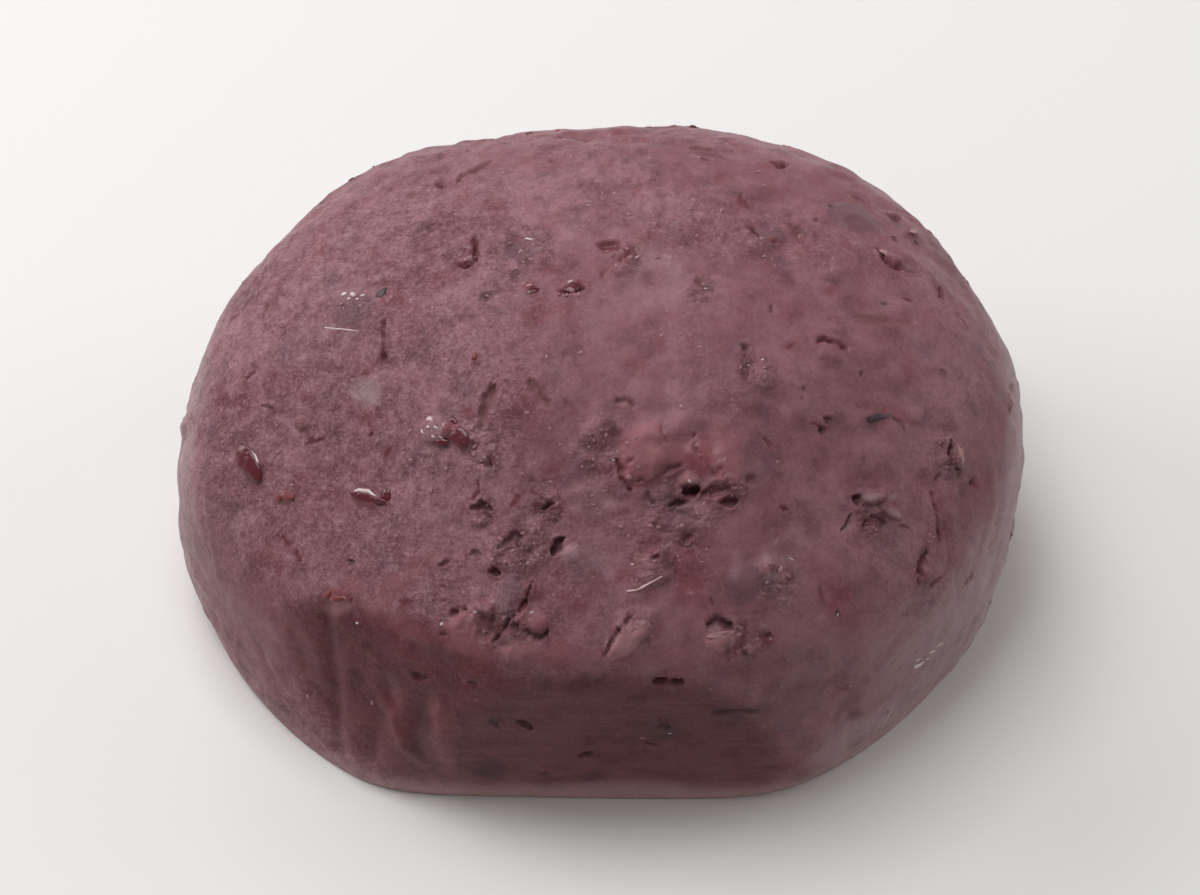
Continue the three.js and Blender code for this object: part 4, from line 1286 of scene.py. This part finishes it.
class Finish:
    """A material whose Principled shader is filled in by name."""

    def __init__(self, name, fixed):
        self.material = bpy.data.materials.new(name)
        self.material.use_nodes = True
        self.tree = self.material.node_tree
        self.shader = self.tree.nodes["Principled BSDF"]
        self.set(fixed)

    def set(self, sockets):
        """Sets or links sockets of the shader."""
        for key, value in sockets.items():
            self.feed(self.shader.inputs[key], value)

    def feed(self, socket, value):
        """Puts a plain value into a socket, or links what varies."""
        if isinstance(value, Value):
            value = value.socket
        if isinstance(value, bpy.types.NodeSocket):
            self.tree.links.new(value, socket)
            return
        if socket.type == "RGBA":
            value = (*value[:3], 1)
        socket.default_value = value

    def node(self, kind, settings=None, sockets=None):
        """Any node: its settings first, then its sockets by name or place."""
        node = self.tree.nodes.new(kind)
        for key, value in (settings or {}).items():
            setattr(node, key, value)
        for key, value in (sockets or {}).items():
            self.feed(node.inputs[key], value)
        return node

    def place(self, scale=(1, 1, 1)):
        """Object coordinates in millimetres, drawn out by a scale along each axis."""
        coordinates = self.node("ShaderNodeTexCoord").outputs["Object"]
        settings = {"vector_type": "POINT"}
        sockets = {"Vector": coordinates, "Scale": tuple(s / MM for s in scale)}
        return self.node("ShaderNodeMapping", settings, sockets).outputs[0]

    def noise(self, place, wavelength, detail=2, roughness=0.5):
        """Noise of a wavelength in millimetres, from 0 to 1."""
        sockets = {"Vector": place, "Scale": 1 / wavelength, "Detail": detail, "Roughness": roughness}
        return Value(self, self.node("ShaderNodeTexNoise", None, sockets).outputs[0])

    def attribute(self, name):
        """A number kept on the mesh's own points."""
        node = self.node("ShaderNodeAttribute", {"attribute_type": "GEOMETRY", "attribute_name": name})
        return Value(self, node.outputs["Fac"])

    def mix(self, factor, first, second, way="MIX"):
        """A colour mix: first where the factor is 0."""
        settings = {"data_type": "RGBA", "blend_type": way}
        return self.node("ShaderNodeMix", settings, {0: factor, 6: first, 7: second}).outputs[2]

    def bump(self, height, depth, normal=None):
        """A Bump node for a height from 0 to 1 that stands for a depth in millimetres."""
        sockets = {"Height": height, "Distance": depth * MM, "Strength": 1.0}
        if normal is not None:
            sockets["Normal"] = normal
        return self.node("ShaderNodeBump", None, sockets).outputs[0]


PASTE_SHINE = {
    "IOR": 1.4,
    "Specular IOR Level": 0.22,
    "Coat Roughness": 0.16,
    "Subsurface Weight": 0.15,
    "Subsurface Radius": (1.0, 0.45, 0.4),
    "Subsurface Scale": 0.001,
}


def paste_finish(colours):
    """Moist bean paste: mottled mauve with paler dry patches, the marks' own tints, and a satin surface that
    is wetter in the hollows. Light and shade are painted into the colour as well: the pressed walls are
    darker, partly as wet paste and partly as painted shade; the foot and base are paler as painted light
    from the floor; the end walls carry a grey painted sheen; pits, hollows and the gaps between grains get
    painted shade; and gritty paste gets painted highlight on its grains. Each layer of colour covers the
    ones before it by its own amount."""
    finish = Finish("bean paste", PASTE_SHINE)
    here = finish.place()
    pressed = finish.attribute("pressed")
    front = finish.attribute("front")
    rough = finish.attribute("rough")
    gritty = finish.attribute("grit")
    grains = finish.noise(here, 0.28, 4, 0.7)
    mottle = finish.noise(here, 0.8, 3, 0.7)
    clouds = finish.noise(here, 2.2, 4, 0.62)
    streaks = finish.noise(finish.place((0.16, 0.16, 1.0)), 0.75, 3, 0.6)
    layers = [
        (finish.noise(here, 6.5, 3, 0.55).between(0.42, 0.66) * 0.55, colours.light_paste),
        (finish.noise(here, 3.7, 3).between(0.52, 0.72) * 0.4, colours.red),
        (finish.noise(here, 2.6, 3, 0.6).between(0.54, 0.72) * 0.45, colours.grey),
        (clouds.between(0.5, 0.75) * 0.5, colours.light_paste),
        ((1 - clouds.between(0.28, 0.5)) * 0.4, colours.dark),
        # Partly wet pressed paste and partly painted shade: the flat sides are darkened a little and the
        # front wall most, with wetter paste, its own brown streaks and dark clouds.
        (pressed * 0.25 + front * 0.5, colours.wall),
        (front * 0.45, colours.wet_wall_and_shade),
        (front * streaks.between(0.45, 0.7) * 0.4, colours.brown),
        (front * (1 - clouds.between(0.32, 0.52)) * 0.6, colours.dark),
        # Painted light from the floor at the foot of the front wall and round the base, and painted sheen on
        # the end walls.
        (finish.attribute("foot") * (clouds * 0.9 + 0.1), colours.foot),
        (finish.attribute("bloom") * (clouds * 0.8 + 0.34), colours.haze_and_sheen),
        (finish.attribute("sole") * (clouds * 0.5 + 0.65), colours.sole),
        # Painted shade and painted highlight: dark in the hollows and highlight on the crumbs where the
        # paste has crumbled, dark between the grains and highlight on them and on sparkle specks where it is
        # gritty, and a coarser mottle of both.
        (finish.noise(here, 0.9, 3, 0.6).between(0.56, 0.68) * (rough * 0.45 + 0.1), colours.dark),
        (finish.noise(here, 0.6, 2, 0.6).between(0.6, 0.68) * (rough * 0.5 + 0.04), colours.painted_highlight),
        ((1 - grains.between(0.28, 0.52)) * (gritty * 0.4 + 0.1), colours.dark),
        (grains.between(0.5, 0.74) * (gritty * 0.5 + 0.06), colours.painted_highlight),
        (finish.noise(here, 0.17, 1).between(0.62, 0.72) * gritty * 0.5, colours.painted_highlight),
        (gritty * (1 - mottle.between(0.3, 0.5)) * 0.4, colours.dark),
        (gritty * mottle.between(0.5, 0.7) * 0.35, colours.painted_highlight),
    ]
    # The marks' tints, among them painted shade in pits and hollows and painted highlight.
    for tint, (name, most) in TINTS.items():
        layers.append((finish.attribute(tint) * most, getattr(colours, name)))
    base = colours.paste
    for amount, laid in layers:
        base = finish.mix(amount, base, laid)
    wet = finish.attribute("r") * 0.5 + finish.attribute("d") * 0.4
    normal = finish.bump(grains * (gritty * 0.8 + 0.1), 0.16)
    normal = finish.bump(finish.noise(here, 1.0, 2, 0.6) * rough, 0.4, normal)
    finish.set(
        {
            "Base Color": base,
            "Roughness": 0.5 - grains * 0.12 - wet * 0.2 - pressed * 0.08,
            "Coat Weight": wet * 0.5,
            "Normal": finish.bump(streaks * clouds * front, 0.12, normal),
        }
    )
    return finish.material


def wet_skin_finish(colours):
    """Dark red bean skin under a film of syrup, wrinkled a little."""
    finish = Finish("wet bean skin", {"IOR": 1.4, "Coat Roughness": 0.08, "Coat Weight": 0.3})
    here = finish.place()
    cloud = finish.noise(here, 0.7, 3).between(0.35, 0.7)
    normal = finish.bump(finish.noise(here, 0.6, 2), 0.14)
    base = finish.mix(cloud * 0.2, colours.wet_skin, colours.grey)
    finish.set({"Base Color": base, "Roughness": 0.26 - cloud * 0.08, "Normal": normal})
    return finish.material


def plain_finish(name, main, other, roughness, wrinkle):
    """A clouded mix of two colours with a fine bump."""
    finish = Finish(name, {"IOR": 1.42})
    here = finish.place()
    cloud = finish.noise(here, 0.6, 3).between(0.35, 0.7)
    base = finish.mix(cloud * 0.7, main, other)
    normal = finish.bump(finish.noise(here, 0.22, 3), wrinkle)
    finish.set({"Base Color": base, "Roughness": roughness + cloud * 0.1, "Normal": normal})
    return finish.material


# ---- Pieces -----------------------------------------------------------------------------------------------


def coat_relief(loaf, marks, points, normals, sizes):
    """How far the coat stands out at points, with its tints, its pressed share and its crumbled share. The
    dome has bean-sized waves, and rounded crumbs with creases between where it has crumbled. The pressed
    walls lose most of both. The creases between crumbs are given painted shade."""
    front, pressed = loaf.pressed(points)
    free = 1 - pressed
    moved, tints, even = marks.relief(points, normals, pressed)
    relief = swells(points, sizes.swell / MM) + folds(points)
    relief += sizes.kneading / MM * layered(points, BEAN_WAVE, 2, 11) * (0.35 + 0.65 * free) * 0.7
    crumbled = marks.crumbled(points) * (0.15 + 0.85 * free) * (1 - 0.6 * even)
    lumpy = np.abs(noise(points, CRUMB_WAVE, 21)) + 0.6 * np.abs(noise(points, CRUMB_WAVE / 2, 22)) - 0.35
    relief += sizes.roughness / MM * (lumpy * (0.2 + crumbled) + 0.3 * noise(points, RIPPLE_WAVE, 23) * free)
    # Painted shade in the creases between crumbs where the paste has crumbled.
    tints["d"] = np.maximum(tints["d"], 0.8 * smooth(crumbled, 0.4, 1) * smooth(-lumpy, -0.05, 0.25))
    low = smooth(points[:, 2], 0, 1.2)
    gritty = grit(points, free, crumbled) * (1 - 0.4 * even)
    shares = {**tints, "rough": crumbled, "grit": gritty, "pressed": pressed, "front": front}
    return (relief + moved) * low, shares


def grit(points, free, crumbled):
    """How gritty the paste is: most at the left of the dome and in crumbled patches, least on the walls and
    at the back. It roughens the bump, and in the paste's colour it sets how much painted highlight the
    grains get and how much painted shade lies between them."""
    left = smooth(-points[:, 0], -2, 14)
    patches = smooth(layered(points, GRIT_WAVE, 2, 61), -0.1, 0.8)
    back = smooth(points[:, 1], 6, 16)
    amount = np.clip(0.2 + 0.75 * left + 0.35 * patches + 0.35 * crumbled, 0, 1)
    return amount * (0.15 + 0.85 * free) * (1 - 0.4 * back)


def wall_shares(points, normals, front):
    """How much painted sheen the end walls have, how much painted light from the floor the foot of the front
    wall has, and how much the edge that the coat stands on has, from where the coat faces and its height."""
    east, height = normals[:, 0], points[:, 2]
    bloom = 0.75 * smooth(-east, 0.84, 0.97)
    for start, end, top, fade in SHEEN_BANDS:
        bloom = np.maximum(bloom, smooth(east, start, end) * smooth(top - height, 0, fade))
    sole = smooth(2.8 - height, 0, 2.8) * (1 - 0.6 * smooth(-east, 0.2, 0.8))
    return {"bloom": bloom, "foot": front * smooth(8 - height, 0, 8), "sole": sole}


class Ball:
    """A ball's points as rings from its top to its bottom, which every small piece is shaped from."""

    def __init__(self, rings, sectors):
        polar = np.pi * np.arange(1, rings + 1) / (rings + 1)
        turn = 2 * np.pi * np.arange(sectors) / sectors
        polar, turn = (grid.ravel() for grid in np.meshgrid(polar, turn, indexing="ij"))
        self.turn = np.concatenate([[0], turn, [0]])
        self.out = np.concatenate([[0], np.sin(polar), [0]])
        self.up = np.concatenate([[1], np.cos(polar), [-1]])
        this = np.arange(sectors)
        after = (this + 1) % sectors
        last = rings * sectors + 1
        faces = [np.stack([0 * this, 1 + this, 1 + after], 1)]
        for ring in range(rings - 1):
            top = 1 + ring * sectors
            low = top + sectors
            faces.append(np.stack([top + this, low + this, low + after], 1))
            faces.append(np.stack([top + this, low + after, top + after], 1))
        low = 1 + (rings - 1) * sectors
        faces.append(np.stack([low + this, last + 0 * this, low + after], 1))
        self.faces = np.concatenate(faces)

    def put(self, name, points, material):
        """One piece from many balls' points: a row of points for each ball."""
        count, size = points.shape[:2]
        corners = (self.faces[None] + size * np.arange(count)[:, None, None]).ravel()
        return put_mesh(name, points.reshape(-1, 3), corners, np.arange(0, len(corners), 3), material)


class Dresser:
    """Lays small pieces on the coat, at the places listed in the view and at random ones that it doesn't
    reach."""

    def __init__(self, context):
        self.sizes = context.scene.ohagi_sizes
        self.colours = context.scene.ohagi_colours
        self.loaf = Loaf(self.sizes)
        self.marks = Marks(self.loaf, self.sizes.seed)
        self.draw = np.random.RandomState(self.sizes.seed + 1)

    def relief(self, points):
        """The coat's relief over smooth surface points."""
        return coat_relief(self.loaf, self.marks, points, self.loaf.normals(points), self.sizes)[0]

    def listed(self, pixels, turns):
        """Middles and long ways of pieces listed in the view."""
        middles = seen_at(self.loaf, pixels)
        ahead = seen_at(self.loaf, [ahead_of(*mark) for mark in zip(pixels, turns)])
        return middles, ahead - middles

    def hidden(self, count):
        """Middles and long ways of random pieces that the view doesn't reach."""
        middles = self.marks.hidden_points(self.draw, count)
        return middles, self.draw.normal(size=middles.shape)

    def lay(self, ball, middles, ways, sizes, lift, curl, uneven=1.0):
        """Balls pressed to half lengths, widths and thicknesses, laid along the loaf's surface. Each has its
        own uneven outline, its middle lies lift above the coat, and its far edge curls up by curl."""
        count = len(middles)
        normals = self.loaf.normals(middles)
        ways = unit(ways - (ways * normals).sum(1, keepdims=True) * normals)
        across = np.cross(normals, ways)
        phases = self.draw.uniform(0, 2 * np.pi, (3, count, 1))
        waves = zip((0.16, 0.14, 0.08), (2, 3, 5), phases)
        outline = 1 + uneven * sum(high * np.sin(times * ball.turn + phase) for high, times, phase in waves)
        out = ball.out * outline
        a = (out * np.cos(ball.turn))[..., None] * sizes[:, None, :1]
        b = (out * np.sin(ball.turn))[..., None] * sizes[:, None, 1:2]
        places = middles[:, None] + a * ways[:, None] + b * across[:, None]
        places = self.loaf.along(places.reshape(-1, 3) - CENTRE)
        rise = np.repeat(self.relief(middles) + lift, len(ball.up))
        rise = rise + (ball.up * sizes[:, 2:]).ravel()
        rise = rise + np.repeat(curl, len(ball.up)) * np.clip(b / sizes[:, None, 1:2], 0, 1).ravel() ** 2
        rise = rise + 0.12 * np.repeat(sizes[:, 2], len(ball.up)) * noise(places, 0.5, 71)
        points = places + self.loaf.normals(places) * rise[:, None]
        points[:, 2] = np.maximum(points[:, 2], 0.01)
        return points.reshape(count, -1, 3)

    def both(self, ball, listed, hidden, uneven=1.0):
        """Listed pieces and hidden ones, as middles, ways, sizes, lift and curl each, laid together."""
        parts = [np.concatenate(pair) for pair in zip(listed, hidden)]
        return self.lay(ball, *parts, uneven)

    def sizes_between(self, count, low, high, ratio, thick):
        """Random half lengths, with widths in proportion and one given thickness."""
        long = self.draw.uniform(low, high, count)
        return np.stack([long, long * self.draw.uniform(*ratio, count), np.full(count, thick)], 1)


    def flakes(self, ball, marks, kind, uneven=1.0):
        """Thin flakes of one kind, the listed ones and the random ones that the view doesn't reach."""
        thick, lift, hidden_lift, (count, low, high, ratio, curl) = kind
        pixels, long, wide, turns, curls = zip(*marks)
        sizes = np.stack([long, wide, np.full(len(long), thick)], 1)
        listed = (*self.listed(pixels, turns), sizes, np.full(len(long), lift), np.array(curls))
        middles, ways = self.hidden(count)
        sizes = self.sizes_between(len(middles), low, high, ratio, thick)
        lifts = np.full(len(middles), hidden_lift)
        return self.both(ball, listed, (middles, ways, sizes, lifts, np.full(len(middles), curl)), uneven)


class OHAGI_OT_wet_skins(bpy.types.Operator):
    """Makes the glossy dark red bean skins"""

    bl_idname = "ohagi.wet_skins"
    bl_label = "Wet Bean Skins"

    def execute(self, context):
        dresser = Dresser(context)
        ball = Ball(15, 28)
        points = dresser.flakes(ball, WET_SKINS, WET_SKIN_KIND, 0.5)
        ball.put("wet_skins", points, wet_skin_finish(dresser.colours))
        return {"FINISHED"}


class OHAGI_OT_flaps(bpy.types.Operator):
    """Makes the thin peach flaps of torn skin"""

    bl_idname = "ohagi.flaps"
    bl_label = "Torn Flaps"

    def execute(self, context):
        dresser = Dresser(context)
        colours = dresser.colours
        ball = Ball(15, 28)
        material = plain_finish("torn skin", colours.flap, colours.peach, 0.42, 0.05)
        ball.put("torn_flaps", dresser.flakes(ball, FLAPS, FLAP_KIND), material)
        return {"FINISHED"}


class OHAGI_OT_scraps(bpy.types.Operator):
    """Makes the dark scraps of hull, the orange-red specks, the pale bean string and the pale beads that
    paint highlights
    """

    bl_idname = "ohagi.scraps"
    bl_label = "Scraps, Specks and String"

    def execute(self, context):
        dresser = Dresser(context)
        colours = dresser.colours
        self.hulls(dresser, plain_finish("dark hull", colours.hull, colours.grey, 0.35, 0.05))
        self.specks(dresser, plain_finish("red speck", colours.speck, colours.red, 0.38, 0.06))
        string = plain_finish("bean string", colours.string, colours.peach, 0.4, 0.02)
        syrup = plain_finish("syrup", colours.syrup, colours.string, 0.1, 0)
        self.tubes(dresser, "bean_string", STRINGS, 1, string)
        self.tubes(dresser, "syrup_beads", GLINTS, 0.35, syrup)
        return {"FINISHED"}

    def hulls(self, dresser, material):
        """Thin dark flakes, nearly flush with the paste."""
        ball = Ball(9, 22)
        ball.put("hull_scraps", dresser.flakes(ball, DARK_SCRAPS, SCRAP_KIND), material)

    def specks(self, dresser, material):
        """Small domed specks, the listed ones and random ones that the view doesn't reach."""
        pixels, radii = zip(*RED_SPECKS)
        radii = np.array(radii)
        turns = dresser.draw.uniform(0, 180, len(radii))
        sizes = np.stack([radii, 0.6 * radii, 0.4 * radii], 1)
        listed = (*dresser.listed(pixels, turns), sizes, -0.1 * radii, 0 * radii)
        middles, ways = dresser.hidden(HIDDEN_SPECKS)
        sizes = dresser.sizes_between(len(middles), 0.1, 0.32, (0.5, 0.9), 0.08)
        loose = (middles, ways, sizes, np.full(len(middles), -0.01), np.zeros(len(middles)))
        ball = Ball(7, 12)
        ball.put("red_specks", dresser.both(ball, listed, loose), material)

    def tubes(self, dresser, name, marks, flat, material):
        """Thin tubes with rounded ends, flattened and half sunk in the coat, each along its own listed
        line."""
        ball = Ball(22, 8)
        part = (1 - ball.up) / 2
        lines = [line for line, _ in placed(dresser.loaf, marks)]
        rows = [[np.interp(part, np.linspace(0, 1, len(x)), x) for x in line.T] for line in lines]
        ways = np.repeat([line[-1] - line[0] for line in lines], len(part), axis=0)
        wide = np.repeat([wide for _, wide in marks], len(part))
        middles = np.concatenate([np.stack(row, 1) for row in rows])
        normals = dresser.loaf.normals(middles)
        radius = wide * np.tile(ball.out**0.5, len(marks)) * (1 + 0.4 * noise(middles, 0.4, 72))
        turn = np.tile(ball.turn, len(marks))
        across = unit(np.cross(normals, ways)) * (radius * np.cos(turn))[:, None]
        rise = dresser.relief(middles) + flat * (0.4 * wide + radius * np.sin(turn))
        points = middles + across + normals * rise[:, None]
        ball.put(name, points.reshape(len(marks), -1, 3), material)


class OHAGI_OT_crumbs(bpy.types.Operator):
    """Makes the loose crumbs of paste, most of them where it has crumbled"""

    bl_idname = "ohagi.crumbs"
    bl_label = "Crumbs"

    def execute(self, context):
        dresser = Dresser(context)
        sizes = dresser.sizes
        middles = dresser.loaf.along(unit(dresser.draw.normal(size=(12 * sizes.crumbs, 3))))
        free = 1 - dresser.loaf.pressed(middles)[1]
        wanted = (0.05 + 0.95 * dresser.marks.crumbled(middles)) * (0.05 + 0.95 * free)
        kept = (middles[:, 2] > 1) & (dresser.draw.uniform(size=len(middles)) < wanted)
        middles = middles[kept][: sizes.crumbs]
        crumb = sizes.crumb / MM
        shapes = dresser.sizes_between(len(middles), 0.4 * crumb, 1.6 * crumb, (0.45, 0.9), 1)
        shapes[:, 2] = 0.5 * shapes[:, 1]
        ways = dresser.draw.normal(size=middles.shape)
        ball = Ball(5, 9)
        points = dresser.lay(ball, middles, ways, shapes, -0.3 * shapes[:, 2], np.zeros(len(middles)))
        colours = dresser.colours
        material = plain_finish("crumb", colours.light_paste, colours.paste, 0.42, 0.05)
        ball.put("crumbs", points, material)
        return {"FINISHED"}


class OHAGI_OT_paste(bpy.types.Operator):
    """Makes the coat of bean paste, which stands for the whole solid"""

    bl_idname = "ohagi.paste"
    bl_label = "Bean Paste Coat"

    def execute(self, context):
        sizes = context.scene.ohagi_sizes
        loaf = Loaf(sizes)
        marks = Marks(loaf, sizes.seed)
        lattice = Lattice(loaf, marks)
        points = lattice.points
        normals = loaf.normals(points)
        normals[points[:, 2] < TINY] = (0, 0, -1)
        relief, shares = coat_relief(loaf, marks, points, normals, sizes)
        moved = points + normals * relief[:, None]
        moved[:, 2] = np.maximum(moved[:, 2], 0)
        shares.update(wall_shares(points, normals, shares["front"]))
        material = paste_finish(context.scene.ohagi_colours)
        coat = put_mesh("paste_coat", moved, lattice.corners, lattice.starts, material, shares)
        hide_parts(NODE)
        return {"FINISHED"}


class OHAGI_OT_stage(bpy.types.Operator):
    """Makes the pale floor, the soft studio lights and the camera"""

    bl_idname = "ohagi.stage"
    bl_label = "Floor, Light and Camera"

    def execute(self, context):
        scene = context.scene
        stage = scene.ohagi_stage
        self.floor(stage)
        self.world(scene, stage)
        for name, place, size, setting in LIGHTS:
            self.light(name, place, size, getattr(stage, setting))
        self.camera(scene, stage)
        scene.view_settings.view_transform = "Standard"
        return {"FINISHED"}

    def floor(self, stage):
        """A flat square, far wider than the view."""
        corners = FLOOR_HALF * np.array([(-1, -1, 0), (1, -1, 0), (1, 1, 0), (-1, 1, 0)], float)
        mesh = bpy.data.meshes.new("floor")
        mesh.from_pydata((corners * MM).tolist(), [], [(0, 1, 2, 3)])
        finish = Finish("floor", {"Roughness": 0.7, "Base Color": stage.floor})
        mesh.materials.append(finish.material)
        floor = bpy.data.objects.new("floor", mesh)
        floor.location.z = -FLOOR_DROP * MM
        bpy.context.scene.collection.objects.link(floor)

    def world(self, scene, stage):
        """Even white light from all round."""
        world = bpy.data.worlds.new("studio")
        world.use_nodes = True
        background = world.node_tree.nodes["Background"]
        background.inputs["Color"].default_value = (1, 1, 1, 1)
        background.inputs["Strength"].default_value = stage.sky
        scene.world = world

    def light(self, name, place, size, power):
        """A square soft light that faces the loaf."""
        data = bpy.data.lights.new(name, "AREA")
        data.size = size
        data.energy = power
        light = bpy.data.objects.new(name, data)
        light.location = place
        light.rotation_euler = (-Vector(place)).to_track_quat("-Z", "Y").to_euler()
        bpy.context.scene.collection.objects.link(light)

    def camera(self, scene, stage):
        """A long lens that looks down at the front wall. It aims beside the aim point by the offset between
        the picture's middle and the pixel where that point shows."""
        forward, right, up = view_axes(stage.elevation)
        beside = (np.array(PICTURE) / 2 - VIEW_MIDDLE) / PIXELS_PER_MM
        target = AIM + beside[0] * right - beside[1] * up
        data = bpy.data.cameras.new("camera")
        data.sensor_width = SENSOR
        data.lens = PIXELS_PER_MM * stage.distance / MM / PICTURE[0] * data.sensor_width
        camera = bpy.data.objects.new("camera", data)
        camera.location = (target - forward * stage.distance / MM) * MM
        camera.rotation_euler = Vector(forward).to_track_quat("-Z", "Y").to_euler()
        scene.collection.objects.link(camera)
        scene.camera = camera


class OHAGI_PT_panel(bpy.types.Panel):
    """Lists what makes the dressed ohagi"""

    bl_label = "Ohagi"
    bl_space_type = "VIEW_3D"
    bl_region_type = "UI"
    bl_category = "Ohagi"

    def draw(self, context):
        for operator in OPERATORS:
            self.layout.operator(operator.bl_idname)


OPERATORS = [
    OHAGI_OT_stage,
    OHAGI_OT_paste,
    OHAGI_OT_wet_skins,
    OHAGI_OT_flaps,
    OHAGI_OT_scraps,
    OHAGI_OT_crumbs,
]
CLASSES = [OhagiSizes, OhagiColours, OhagiStage, *OPERATORS, OHAGI_PT_panel]


def register():
    for kind in CLASSES:
        bpy.utils.register_class(kind)
    bpy.types.Scene.ohagi_sizes = PointerProperty(type=OhagiSizes)
    bpy.types.Scene.ohagi_colours = PointerProperty(type=OhagiColours)
    bpy.types.Scene.ohagi_stage = PointerProperty(type=OhagiStage)


def unregister():
    del bpy.types.Scene.ohagi_sizes
    del bpy.types.Scene.ohagi_colours
    del bpy.types.Scene.ohagi_stage
    for kind in reversed(CLASSES):
        bpy.utils.unregister_class(kind)


def main():
    register()
    bpy.ops.ohagi.stage()
    bpy.ops.ohagi.paste()
    bpy.ops.ohagi.wet_skins()
    bpy.ops.ohagi.flaps()
    bpy.ops.ohagi.scraps()
    bpy.ops.ohagi.crumbs()
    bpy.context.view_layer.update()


if __name__ == "__main__":
    main()
